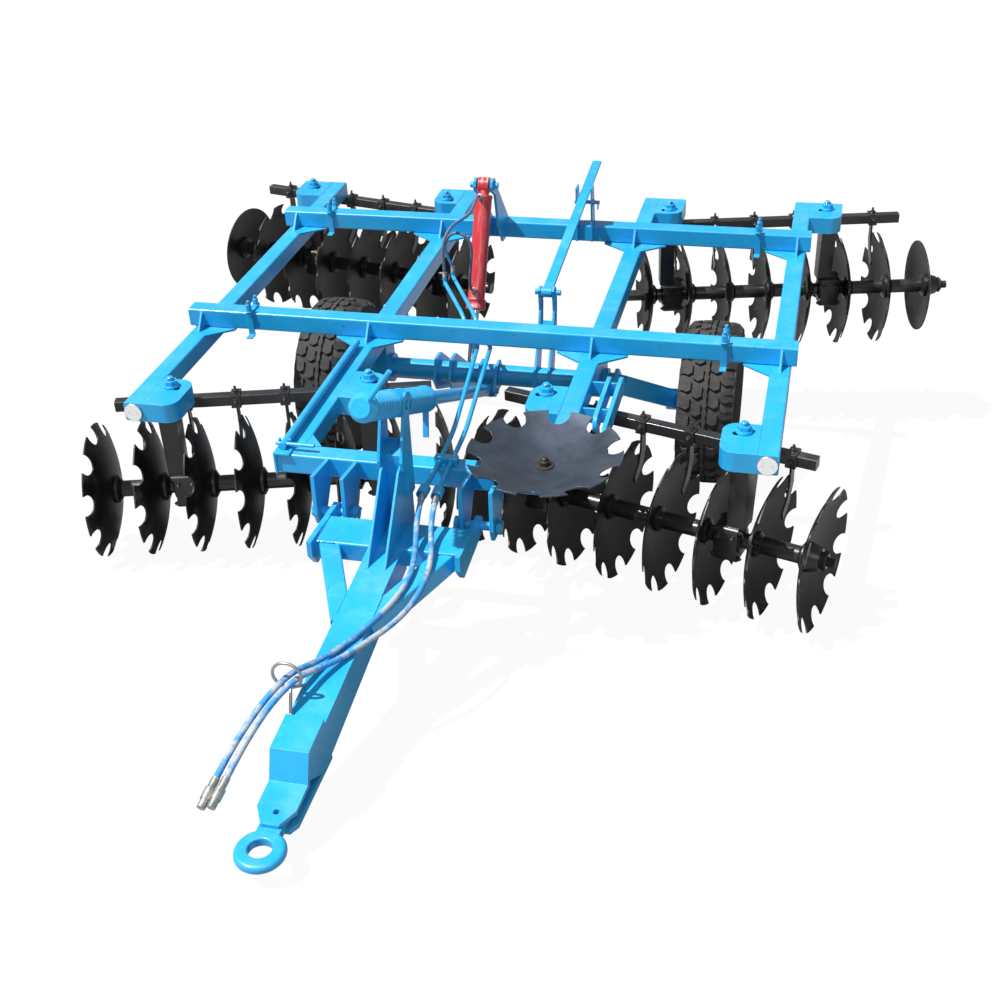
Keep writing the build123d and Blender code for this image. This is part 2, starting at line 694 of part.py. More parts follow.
with BuildPart() as rod:
    with BuildSketch(CYL_PLANE.offset(345)):
        Circle(ROD_R)
    extrude(amount=CYL_LENGTH - 345 - 20)
    round_x(LIFT_X - 24, LIFT_X + 24, LIFT_PIN, 30)
    round_x(LIFT_X - 54, LIFT_X + 54, LIFT_PIN, PIN_R)
    for side in (-1, 1):
        washer = LIFT_X + side * (LEVER_GAP + LEVER / 2 + 1)
        round_x(washer, washer + side * 5, LIFT_PIN, 25)
keep(rod, "cylinder_rod")

# Lock bar from the lock arms to its bracket on the rear cross beam
LOCK_DY = LOCK_END[0] - LOCK_PIN[0]
LOCK_DZ = LOCK_END[1] - LOCK_PIN[1]
LOCK_LENGTH = hypot(LOCK_DY, LOCK_DZ)
LOCK_AXIS = Vector(0, LOCK_DY / LOCK_LENGTH, LOCK_DZ / LOCK_LENGTH)
LOCK_PLANE = Plane(origin=(LOCK_X, *LOCK_PIN), x_dir=(1, 0, 0), z_dir=LOCK_AXIS)
with BuildPart() as lock_bar:
    with BuildSketch(LOCK_PLANE.offset(14)):
        RectangleRounded(*LOCK_BAR, 3)
    extrude(amount=LOCK_LENGTH - 14)
    round_x(LOCK_X - 23, LOCK_X + 23, LOCK_PIN, 22)
    round_x(LOCK_X - 26, LOCK_X + 26, LOCK_PIN, 12 + RUN, Mode.SUBTRACT)
keep(lock_bar, "lock_bar")

with BuildPart() as lock_bracket:
    y = REAR_CROSS_Y
    top = LOCK_PIN[1] + (y + 20 - LOCK_PIN[0]) * LOCK_DZ / LOCK_DY + 34
    for x in (LOCK_X - 36, LOCK_X + 36):
        side_plate(x, 8, ((y + 60, FIT), (y - FIT, FIT), (y - FIT, -76), (y - 14, -76), (y - 20, top), (y + 34, top)))
    round_x(LOCK_X - 50, LOCK_X + 70, (y + 14, top - 78), 9)
keep(lock_bracket, "lock_bracket")


def bar_top(y):
    """Height of the main drawbar beam's top at a place along it."""
    return PB_TOP + BAR_SLOPE * (y - PB_FRONT - 30)


# Drawbar: pivot beam with its end plates, two braces and the main box beam
with BuildPart() as drawbar:
    beam_x(-PB_HALF, PB_HALF, PB_FRONT, PB_TOP, PB_REAR - PB_FRONT, PB_TOP - PB_BOTTOM)
    back = PB_FRONT + 30
    side_plate(0, BAR_W, ((back, bar_top(back)), (BEND_TOP, bar_top(BEND_TOP)), (BEND_LOW[0], BEND_LOW[1] + 2),
                          (BEND_TOP + 60, -395), (-2120, -395), (back, bar_top(back) - 100)))
    for side in (-1, 1):
        corners = (
            (DRAW_PIVOT[0] + 8, DRAW_PIVOT[1] + 36), (DRAW_PIVOT[0] + 34, DRAW_PIVOT[1] + 14),
            (DRAW_PIVOT[0] + 34, DRAW_PIVOT[1] - 16), (DRAW_PIVOT[0] + 8, DRAW_PIVOT[1] - 38),
            (-1335, -284), (-1378, -230), (-1374, -172),
        )
        side_plate(side * 264, 18, corners)
        round_x(side * 264 - 20, side * 264 + 20, DRAW_PIVOT, DRAW_PIN + RUN, Mode.SUBTRACT)
        tube_between((side * 216, PB_FRONT + 30, PB_TOP - 38), (side * 40, -1700, bar_top(-1700) - 38), 70, 72)
keep(drawbar, "drawbar_frame")

with BuildPart() as pivot_pins:
    for side in (-1, 1):
        round_x(side * 180, side * 348, DRAW_PIVOT, DRAW_PIN)
        round_x(side * 180, side * 196, DRAW_PIVOT, 27)
        hex_x(side * 334, side * 352, DRAW_PIVOT, 46)
keep(pivot_pins, "drawbar_pins")

ROD_DY = LEVEL_PIN[0] - ROD_FRONT[0]
ROD_DZ = LEVEL_PIN[1] - ROD_FRONT[1]
ROD_LENGTH = hypot(ROD_DY, ROD_DZ)
ROD_AXIS = Vector(0, ROD_DY / ROD_LENGTH, ROD_DZ / ROD_LENGTH)
ROD_PLANE = Plane(origin=(0, *ROD_FRONT), x_dir=(1, 0, 0), z_dir=ROD_AXIS)
TRUNNION = (TRUNNION_Y, ROD_FRONT[1] + (TRUNNION_Y - ROD_FRONT[0]) * ROD_DZ / ROD_DY)


def by_rod(along, above):
    """A (y, z) place measured along the levelling rod and above it, from its trunnion."""
    return (
        TRUNNION[0] + along * ROD_AXIS.Y - above * ROD_AXIS.Z,
        TRUNNION[1] + along * ROD_AXIS.Z + above * ROD_AXIS.Y,
    )


# Post with its knee plates and the fork that holds the levelling rod's trunnion
with BuildPart() as post:
    side_plate(0, POST_W, ((POST_FRONT, PB_BOTTOM), (POST_FRONT, 80), (POST_REAR, 110), (POST_REAR, PB_BOTTOM)))
    for side in (-1, 1):
        knee = (
            (POST_FRONT + 4, 62), (POST_FRONT - 56, 50), (-1452, bar_top(-1452)), (PB_FRONT - 2, PB_TOP),
            (POST_FRONT + 4, PB_TOP),
        )
        side_plate(side * (POST_W / 2 - 4), 8, knee)
        cheek = (
            (POST_FRONT + 4, -90), (POST_REAR, -90), (POST_REAR, 60), by_rod(32, -44), by_rod(32, 30),
            by_rod(20, 42), by_rod(-20, 42), by_rod(-32, 30), by_rod(-32, -44), (POST_FRONT - 44, 78),
            (POST_FRONT - 40, 44), (POST_FRONT + 4, 10),
        )
        side_plate(side * (POST_W / 2 + 5), 10, cheek)
        ends = sorted((side * 30, side * 50))
        far = (TRUNNION[0] + TRUNNION_SLOT[0], TRUNNION[1] + TRUNNION_SLOT[1])
        slot_x(*ends, TRUNNION, far, 14.8)
keep(post, "levelling_post")


def along_rod(y):
    """Distance down the levelling rod from its cap to a place along the machine."""
    return (y - ROD_FRONT[0]) * ROD_LENGTH / ROD_DY


# Levelling rod with its cap, collars, trunnion block, rear tube, crank and hanging bar
FORK_AT = along_rod(TRUNNION_Y)
FRONT_COLLAR = along_rod(SPRING_ENDS[0])
REAR_COLLAR = along_rod(SPRING_ENDS[1])
with BuildPart() as level_rod:
    turned = (
        (-22, 0), (-22, 33), (-12, 33), (8, SPRING_R), (14, SPRING_R), (14, LEVEL_ROD_R),
        (FRONT_COLLAR, LEVEL_ROD_R), (FRONT_COLLAR, SPRING_R + 1), (FRONT_COLLAR + 12, SPRING_R + 1),
        (FRONT_COLLAR + 12, LEVEL_ROD_R), (FORK_AT + 42, LEVEL_ROD_R), (FORK_AT + 42, SPRING_R + 1),
        (FORK_AT + 54, SPRING_R + 1), (FORK_AT + 54, LEVEL_ROD_R), (REAR_COLLAR, LEVEL_ROD_R),
        (REAR_COLLAR, SPRING_R + 1), (REAR_COLLAR + 14, SPRING_R + 1), (REAR_COLLAR + 14, LEVEL_TUBE_R),
        (ROD_LENGTH - 16, LEVEL_TUBE_R), (ROD_LENGTH - 16, 0),
    )
    with BuildSketch(Plane(origin=(0, *ROD_FRONT), x_dir=ROD_AXIS, z_dir=(1, 0, 0))):
        with BuildLine():
            Polyline(*turned, close=True)
        make_face()
    revolve(axis=Axis((0, *ROD_FRONT), (0, ROD_AXIS.Y, ROD_AXIS.Z)))
    with BuildSketch(ROD_PLANE.offset(FORK_AT - 26)):
        Rectangle(60, 56)
    extrude(amount=52)
    round_x(-50, 50, TRUNNION, 14)
    round_x(-LEVEL_GAP + 9, LEVEL_GAP - 9, LEVEL_PIN, 28)
    round_x(-LEVEL_GAP + 6, LEVEL_GAP - 6, LEVEL_PIN, 12 + RUN, Mode.SUBTRACT)
    with BuildSketch(Plane(origin=(12, ROD_FRONT[0] + 4, ROD_FRONT[1] + 12), z_dir=(0.58, 0, 0.81))):
        Circle(8)
    extrude(amount=152)
    tube_between((0, -772, 66), (0, -800, -61), 22, 10, 2)
keep(level_rod, "levelling_rod")

with BuildPart() as springs:
    for start, stop in (
        (14 + FIT, FRONT_COLLAR - FIT),
        (FORK_AT + 54 + FIT, REAR_COLLAR - FIT),
    ):
        with BuildSketch(ROD_PLANE.offset(start)):
            Circle(SPRING_R)
            Circle(LEVEL_ROD_R + 8, mode=Mode.SUBTRACT)
        extrude(amount=stop - start)
keep(springs, "levelling_springs")

# Hitch plates in front of the main beam, and the towing ring bolted between them
with BuildPart() as hitch_plate:
    top = bar_top(BEND_TOP)
    side_plate(0, BAR_W, ((-2150, bar_top(-2150) + PLATE), (BEND_TOP - 8, top + PLATE),
                          (BEND_LOW[0] - 18, BEND_LOW[1]), (PLATE_END, -350), (PLATE_END, -363),
                          (BEND_LOW[0] - 2, BEND_LOW[1] - 16), (BEND_LOW[0] - FIT, BEND_LOW[1] + 2),
                          (BEND_TOP - FIT, top + FIT), (-2150, bar_top(-2150) + FIT)))
    side_plate(0, BAR_W, ((-2130, -395), (-2449, -395), (-2449, -413), (-2130, -413)))
    with BuildSketch(Plane.XY.offset(-420)) as cuts:
        for side in (-1, 1):
            edge = side * (BAR_W / 2 + 1)
            with BuildLine():
                Polyline((edge, PLATE_END + 62), (edge - side * 34, PLATE_END - 1), (edge, PLATE_END - 1), close=True)
            make_face()
    push(cuts, 75, Mode.SUBTRACT)
    with BuildSketch(Plane.XY.offset(-366)) as holes:
        for y in (-2362, -2397, -2432):
            with Locations((4, y)):
                Circle(10)
    push(holes, 20, Mode.SUBTRACT)
keep(hitch_plate, "hitch_plate")

with BuildPart() as ring:
    with BuildSketch(Plane(origin=(0, *EYE), x_dir=(1, 0, 0), z_dir=(0, -1, 0))) as section:
        with Locations(((EYE_R + EYE_BORE) / 2, 0)):
            Rectangle(EYE_R - EYE_BORE, EYE_THICK)
        fillet(section.vertices().group_by(Axis.X)[0], EYE_ROUND)
        fillet(section.vertices().group_by(Axis.X)[-1], EYE_THICK * 0.44)
    revolve(axis=Axis((0, *EYE), (0, 0, 1)))
    root = EYE[0] + (EYE_R + EYE_BORE) / 2
    with BuildSketch(Plane.XY.offset(EYE[1] - EYE_THICK * 0.47)) as shank:
        with Locations((0, (root - 2340) / 2)):
            Rectangle(70, -2340 - root)
    push(shank, EYE_THICK * 0.94)
keep(ring, "towing_ring")

# Stowed legs: two flat bars with round ends, held beside the right-hand inner beam
with BuildPart() as legs:
    middle = LEG_TOP - LEG_TALL / 2
    for x, front, rear in LEGS:
        with BuildSketch(Plane.YZ.offset(x - LEG_THICK / 2)) as bar:
            with Locations(((front + rear) / 2, middle)):
                SlotOverall(rear - front, LEG_TALL)
        push(bar, LEG_THICK)
    for y in (-430, -215):
        edge = INNER_X + TUBE / 2
        with BuildSketch(Plane.XZ.offset(-y)) as bracket:
            with Locations(((edge + 640) / 2, middle - 2)):
                Rectangle(640 - edge, 58)
        push(bracket, 10)
keep(legs, "stowed_legs")

# Stowed jack pipe with its cross handle, lying on the left-hand inner beam
with BuildPart() as jack:
    front, rear = STOWED_Y
    with BuildSketch(Plane.XZ.offset(-rear)) as pipe:
        with Locations((STOWED_X, STOWED_Z)):
            Circle(STOWED_R)
    push(pipe, rear - front)
    round_x(STOWED_X - 30, STOWED_X + 120, (front + 16, STOWED_Z + 4), 7)
    pad = ((-170, LOW_TOP + FIT), (-140, LOW_TOP + FIT), (-140, STOWED_Z), (-170, STOWED_Z))
    side_plate(STOWED_X, 20, pad)
keep(jack, "stowed_jack_pipe")

# Straps with screws round the cross beams
with BuildPart() as straps:
    wide, thick = STRAP
    for y0, places in STRAPS.items():
        for x in places:
            hook = (
                (y0, -104), (y0, 0), (y0 + TUBE + 6, 0), (y0 + TUBE + 6, thick), (y0 - thick, thick),
                (y0 - thick, -98), (y0 - 40, -98), (y0 - 40, -104),
            )
            side_plate(x, wide, hook)
            for at, reach in ((y0 - 2, 34), (y0 + TUBE - 6, 26)):
                with BuildSketch(Plane.XY.offset(thick)) as head:
                    with Locations((x, at)):
                        RegularPolygon(11, 6, major_radius=False)
                push(head, reach)
keep(straps, "beam_straps")


def bend_radii(points):
    """The largest round bend at each corner that leaves its neighbours room."""
    radii = []
    corners = [Vector(*point) for point in points]
    for before, at, after in zip(corners, corners[1:], corners[2:]):
        turn = radians((at - before).get_angle(after - at))
        radii.append(0.45 * min((at - before).length, (after - at).length) / tan(turn / 2))
    return radii


def round_line(points, radius):
    """A round bar, pipe or hose that follows a centre line with round bends."""
    with BuildPart() as line:
        with BuildLine() as path:
            FilletPolyline(*points, radius=bend_radii(points))
        start = Vector(*points[0])
        with BuildSketch(Plane(origin=start, z_dir=Vector(*points[1]) - start)):
            Circle(radius)
        sweep()
    return line.part


def end_plane(points, back=0):
    """A plane across the end of a centre line, its normal onward."""
    last, before = Vector(*points[-1]), Vector(*points[-2])
    along = (last - before).normalized()
    return Plane(origin=last - along * back, z_dir=along)


# Oil pipes on the frame, with their sockets for the hoses and the clamp on the hitch beam
with BuildPart() as pipes:
    for points in (PIPE_LEFT, PIPE_RIGHT):
        add(round_line(points, PIPE_R))
        with BuildSketch(end_plane(points, 10)) as socket:
            Circle(SOCKET_R)
        push(socket, SOCKET + 10)
        with BuildSketch(end_plane(points, -2)) as bore:
            Circle(SOCKET_BORE)
        push(bore, SOCKET, Mode.SUBTRACT)
    with BuildSketch(Plane.XY.offset(LOW_TOP)) as clamp:
        with Locations((113, HITCH_FRONT + 46)):
            RectangleRounded(86, 36, 4)
    push(clamp, 22)
keep(pipes, "oil_pipes")

# Hoses: two loops from the pipes to the cylinder, and two that lead along the drawbar
for label, points, radius in (
    ("loop_hose_upper", LOOP_UPPER, LOOP_R),
    ("loop_hose_lower", LOOP_LOWER, LOOP_R),
    ("tractor_hose_left", HOSE_LEFT, HOSE_R),
    ("tractor_hose_right", HOSE_RIGHT, HOSE_R),
):
    nodes[label] = round_line(points, radius)
    print(label, "radii", [round(radius) for radius in bend_radii(points)])

with BuildPart() as couplers:
    for points in (HOSE_LEFT, HOSE_RIGHT):
        for reach, radius in ((COUPLER, 13), (COUPLER - 26, 16)):
            with BuildSketch(end_plane(points, -FIT)) as shell:
                Circle(radius)
            push(shell, reach)
keep(couplers, "hose_couplers")

# Wire holder that carries the hoses over the main drawbar beam
with BuildPart() as holder:
    x, y, z = HOLDER
    with BuildSketch(Plane(origin=(x + HOLDER_R, y, z), x_dir=(1, 0, 0), z_dir=(0, 0, 1))) as wire:
        Circle(HOLDER_WIRE)
    revolve(wire.sketch, axis=Axis((x, y, z), (0, 1, 0)))
    for end_y in (y - 70, y + 60):
        start = Vector(x + 6, y, z - HOLDER_R)
        end = Vector(-50, end_y, bar_top(end_y) + 4.4)
        with BuildSketch(Plane(origin=start, z_dir=end - start)) as leg:
            Circle(HOLDER_WIRE)
        push(leg, (end - start).length)
keep(holder, "hose_holder")

# Spare disc bolted down on the hitch beam, hollow side up
spare = make_disc(DISC_R, DISH, 1, True)
SPARE_Z = LOW_TOP + seat_of(DISC_R, DISH) + DISC_THICK + SEAT_R * sin(radians(SPARE_TILT))
nodes["spare_disc"] = spare.moved(Location((*SPARE, SPARE_Z), (SPARE_TILT, 0, 0)) * Location((0, 0, 0), (0, 90, 0)))

# The machine leans forward until its wheels and front discs stand on the floor
MOUTH = asin(sqrt(NOTCH_R**2 - NOTCH_IN**2) / DISC_R)
SUPPORT_R = DISC_R * cos(MOUTH)
run = HUB[0] - FRONT_START[1]
rise = HUB[1] - FRONT_Z
LEAN = degrees(asin((TYRE_R - SUPPORT_R) / hypot(run, rise)) - atan2(rise, run))

lean = Location((0, 0, 0), (LEAN, 0, 0))
boxes = [part.moved(lean).bounding_box() for part in nodes.values()]
low = min(box.min.Z for box in boxes)
middle_y = (min(box.min.Y for box in boxes) + max(box.max.Y for box in boxes)) / 2
stance = Location((0, -middle_y, -low)) * lean
print("lean", round(LEAN, 7), "lift", round(-low, 5), "shift", round(-middle_y, 5))
for label, part in nodes.items():
    placed = part.moved(stance)
    placed.label = label
    export_step(placed, f"parts/{label}.step")
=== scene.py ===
"""Dresses a packed disc harrow: paint, treads, springs, hoses, bolts and weld beads."""

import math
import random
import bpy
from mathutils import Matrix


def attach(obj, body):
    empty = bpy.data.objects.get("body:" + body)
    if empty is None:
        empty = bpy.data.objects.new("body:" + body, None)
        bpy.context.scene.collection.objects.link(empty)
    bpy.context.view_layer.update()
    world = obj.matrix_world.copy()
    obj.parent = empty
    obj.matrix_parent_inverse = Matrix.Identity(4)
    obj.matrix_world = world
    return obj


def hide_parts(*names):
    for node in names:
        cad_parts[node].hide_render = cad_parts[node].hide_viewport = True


bl_info = {
    "name": "Disc Harrow Dressing",
    "version": (1, 0, 0),
    "blender": (4, 5, 0),
    "location": "3D View > Sidebar > Harrow",
    "description": "Builds the looks of a trailed disc harrow around its packed frame",
    "category": "Object",
}

import bpy
from bpy.props import FloatProperty, FloatVectorProperty, IntProperty, PointerProperty
from bpy.types import Operator, Panel, PropertyGroup
from mathutils import Matrix, Vector

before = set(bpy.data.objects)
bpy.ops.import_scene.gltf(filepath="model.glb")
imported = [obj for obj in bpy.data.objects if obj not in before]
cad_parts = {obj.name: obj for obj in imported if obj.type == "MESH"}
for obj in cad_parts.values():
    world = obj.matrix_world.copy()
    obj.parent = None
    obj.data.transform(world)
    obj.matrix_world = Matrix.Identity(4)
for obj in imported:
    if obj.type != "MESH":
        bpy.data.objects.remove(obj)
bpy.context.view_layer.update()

# How the machine stands: its own axes lean forward by this angle, then rise and shift
LEAN = math.radians(10.1730189)
LIFT = 0.90800187
SHIFT = 0.1771286
MILLI = 0.001
STANCE = Matrix.Translation((0, SHIFT, LIFT)) @ Matrix.Rotation(LEAN, 4, "X")

# Sizes of the machine in millimetres, in its own axes: x right, y rearward, z up
UP = Vector((0, 0, 1))
SIDES = (("left", -1), ("right", 1))
TUBE = 80
REAR_CROSS_Y = 1170
OUTER_X = 1238
OUTER_FRONT = -700
INNER_X = 478
LOW_TOP = -80
LOW_BOTTOM = -160
HITCH_FRONT = -975
HITCH_REAR = -895
EAR_X = (215, 325)
SPARE = (469, -907)

# Straps as (cross beam's front face, distance from the middle), pivot bolts as (x, y)
STRAPS = ((0, 1012), (REAR_CROSS_Y, 1056))
BOX_BOLTS = ((1140, -545), (363, -365), (1357, 1735), (585, 1640))

# Drawbar: pivot as (y, z), its cross beam as (front, rear, top), and the rise of the bar's upper face
DRAW_PIVOT = (-1095, -227)
PIVOT_BEAM = (-1340, -1178, -187)
BAR_FOOT = 30
BAR_SLOPE = 0.084

# Running gear, with the shaft and the wheel's middle as (y, z)
SHAFT = (165, -300)
SHAFT_R = 46
SHAFT_JOINTS = (-553, -236, -164, -38, 38, 205, 265, 553)
HUB = (730, -665)
WHEEL_X = 909
TYRE_R = 380
TYRE_HALF = 127
RIM_R = 205

# Lift cylinder, levelling rod and lock bar, with their pins as (y, z)
LIFT_X = -200
LIFT_PIN = (540, -530)
MAST_PIN = (974, 254)
BARREL_LENGTH = 575
BARREL_R = 40
ROD_FRONT = (-1412, 397)
LEVEL_PIN = (90, -338.6)
TRUNNION_Y = -1108
SPRING_ENDS = (-1158, -798)
LOCK_X = 235
LOCK_PIN = (279, 52)
LOCK_END = (1513, 195)

# Gangs: the outermost disc's place, the shaft's angle, the side of the dish, the discs before the
# bearings, and how far the scraper bar reaches along the shaft
PITCH = 201
GANG_COUNT = 8
DISC_R = 280
DISH = 62
SEAT_R = 60
DISC_THICK = 6
HOUSING_HALF = 45
HOUSING_SIDE = 62
BLADE_THICK = 8
SCRAPER_UP = 322
SCRAPER_BACK = 135
GANGS = {
    "front": {
        "start": (1468, -693, -514), "angle": 15.6, "dish": -1, "bearings": (2, 6), "reach": (-95, -1395),
    },
    "rear": {
        "start": (1823, 1876, -522), "angle": -13.1, "dish": 1, "bearings": (3, 7), "reach": (-80, -1310),
    },
}

# Centre lines of the hoses, in millimetres
HOSE_ROUTES = {
    "tractor_hose_left": (
        (85, -1147, -82), (90, -1210, -94), (97, -1283, -132), (118, -1370, -172), (132, -1500, -193),
        (107, -1626, -203), (60, -1748, -211), (4, -1850, -222.6), (-44, -1950, -207), (-79, -2035, -176),
        (-118, -2145, -190), (-152, -2250, -226), (-172, -2350, -258), (-182, -2441, -284),
    ),
    "tractor_hose_right": (
        (136, -1149, -84), (138, -1214, -104), (150, -1290, -148), (177, -1380, -176), (187, -1492, -192),
        (174, -1612, -205), (137, -1724, -210), (80, -1812, -216), (22, -1903, -220), (-25, -1985, -200),
        (-56, -2060, -178), (-92, -2160, -188), (-122, -2260, -222), (-140, -2355, -254), (-150, -2441, -278),
    ),
    "loop_hose_upper": (
        (-200, 891.1, 226.8), (-200, 856, 246.4), (-199, 816, 252), (-199, 776, 240), (-202, 735, 222),
        (-212, 688, 212), (-230, 640, 210), (-254, 590, 206), (-276, 548, 178), (-287, 524, 130),
        (-286, 521, 70), (-286, 521, -17.7),
    ),
    "loop_hose_lower": (
        (-200, 683.8, -147.7), (-200, 649, -128.4), (-199, 624, -97), (-194, 613, -48), (-184, 612, 20),
        (-176, 610, 92), (-196, 608, 146), (-240, 606, 168), (-284, 604, 146), (-304, 602, 92),
        (-284, 602, 34), (-270, 602, -2), (-270, 602, -21.7),
    ),
}
HOSE_FACTS = {
    "tractor_hose_left": {"body": "drawbar", "radius": 10, "length": 1.392, "end": "fitting"},
    "tractor_hose_right": {"body": "drawbar", "radius": 10, "length": 1.404, "end": "fitting"},
    "loop_hose_upper": {"body": "cylinder_barrel", "radius": 7, "length": 0.576, "end": "object"},
    "loop_hose_lower": {"body": "cylinder_barrel", "radius": 7, "length": 0.591, "end": "object"},
}

# The materials by name, filled by the first operator
FINISHES = {}


def stand(point):
    """A point of the machine's own axes, in millimetres, to the shared frame in metres."""
    return STANCE @ (Vector(point) * MILLI)


def across(axis):
    """Two directions square to an axis."""
    axis = Vector(axis).normalized()
    helper = UP if abs(axis.z) < 0.9 else Vector((1, 0, 0))
    first = axis.cross(helper).normalized()
    return first, axis.cross(first)


def around(count, start=0.0):
    """Evenly spaced angles of one full turn."""
    return [start + 2 * math.pi * k / count for k in range(count)]


def spoke(first, second, angle):
    """The direction at an angle between two others that are square to each other."""
    return first * math.cos(angle) + second * math.sin(angle)


def on_circle(middle, radius, angle):
    """The (y, z) of a point on a circle square to the x axis."""
    return middle[0] + radius * math.cos(angle), middle[1] + radius * math.sin(angle)


def tint(colour, share=1.0):
    """A colour made darker or lighter, with its alpha."""
    return (*[min(1, c * share) for c in colour], 1)


class Metalwork:
    """Collects the faces of small parts in millimetres, then makes them one piece."""

    # The smallest radius, which keeps the corners of a pointed end apart, and the length of a weld ripple
    FINEST = 0.05
    RIPPLE = 3.2

    def __init__(self):
        self.points = []
        self.faces = []

    def rings(self, loops, closed=False):
        """Joins loops of equal length into a skin."""
        start = len(self.points)
        count = len(loops[0])
        for loop in loops:
            self.points += [tuple(p) for p in loop]
        last = len(loops) if closed else len(loops) - 1
        for row in range(last):
            a = start + row * count
            b = start + (row + 1) % len(loops) * count
            for k in range(count):
                n = (k + 1) % count
                self.faces.append((a + k, a + n, b + n, b + k))
        if not closed:
            self.faces.append(tuple(start + k for k in reversed(range(count))))
            self.faces.append(tuple(start + (len(loops) - 1) * count + k for k in range(count)))

    def turned(self, origin, axis, profile, sides, spin=0.0):
        """A solid of revolution from (along, radius) pairs."""
        origin = Vector(origin)
        axis = Vector(axis).normalized()
        u, v = across(axis)
        spokes = [spoke(u, v, angle) for angle in around(sides, spin)]
        loops = []
        for along, radius in profile:
            centre = origin + axis * along
            loops.append([centre + direction * max(radius, self.FINEST) for direction in spokes])
        self.rings(loops)

    def hexagon(self, origin, axis, flats, height, spin=0.0):
        """A hexagon head with its corners rounded off at the top."""
        corner = flats / math.sqrt(3)
        head = ((0, 0.97), (0.1, 1), (0.8, 1), (1, 0.86))
        self.turned(origin, axis, [(height * along, corner * wide) for along, wide in head], 6, spin)

    def bolt(self, origin, axis, flats, spin=0.0, stud=0.0):
        """A washer, a hexagon nut and a threaded end standing out of it."""
        axis = Vector(axis).normalized()
        washer = ((0, 0.72), (0.1, 0.74), (0.14, 0.7))
        self.turned(origin, axis, [(flats * along, flats * radius) for along, radius in washer], 20)
        self.hexagon(Vector(origin) + axis * flats * 0.14, axis, flats, flats * 0.5, spin)
        if stud:
            self.thread(Vector(origin) + axis * flats * 0.6, axis, flats * 0.31, stud)

    def thread(self, origin, axis, radius, length, pitch=2.6):
        """Thread ridges along a stud."""
        profile = []
        steps = max(2, int(length / pitch))
        for k in range(steps):
            profile += [(k * pitch, radius * 0.9), (k * pitch + pitch / 2, radius)]
        profile += [(steps * pitch, radius * 0.88), (steps * pitch + 1.5, radius * 0.7)]
        self.turned(origin, axis, profile, 12)

    def swept(self, path, radii, sides, closed=False):
        """A tube along a line of points, with one radius or one for each point."""
        path = [Vector(p) for p in path]
        if not hasattr(radii, "__len__"):
            radii = [radii] * len(path)
        loops = []
        side = None
        for k, p in enumerate(path):
            before = path[k - 1] if k or closed else p
            after = path[(k + 1) % len(path)] if k < len(path) - 1 or closed else p
            ahead = (after - before).normalized()
            if side is None:
                side = across(ahead)[0]
            side = (side - ahead * side.dot(ahead)).normalized()
            up = ahead.cross(side)
            loops.append([p + spoke(side, up, angle) * radii[k] for angle in around(sides)])
        self.rings(loops, closed)

    def bead(self, start, end, size, draw):
        """A weld bead with the ripples that a hand-held torch leaves."""
        start, end = Vector(start), Vector(end)
        length = (end - start).length
        steps = max(3, int(length / self.RIPPLE))
        path = []
        radii = []
        for k in range(steps + 1):
            t = k / steps
            wander = draw.uniform(-0.5, 0.5)
            path.append(start.lerp(end, t) + Vector((wander, wander, wander * 0.5)))
            ripple = 0.82 + 0.18 * (k % 2) + draw.uniform(-0.06, 0.06)
            radii.append(size * ripple * (0.55 if k in (0, steps) else 1))
        self.swept(path, radii, 7)

    def slab(self, corners, up, thick):
        """A flat plate from its corner points, thick along up."""
        up = Vector(up).normalized() * thick
        self.rings([[Vector(c) for c in corners], [Vector(c) + up for c in corners]])

    def piece(self, name, body, finish, sharp=32.0):
        """Makes the mesh, stands it in the frame and lets it ride on a body."""
        mesh = bpy.data.meshes.new(name)
        mesh.from_pydata([stand(p) for p in self.points], [], self.faces)
        mesh.validate()
        for polygon in mesh.polygons:
            polygon.use_smooth = True
        mesh.update()
        mesh.set_sharp_from_angle(angle=math.radians(sharp))
        thing = bpy.data.objects.new(name, mesh)
        bpy.context.scene.collection.objects.link(thing)
        mesh.materials.append(FINISHES[finish])
        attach(thing, body)
        return thing


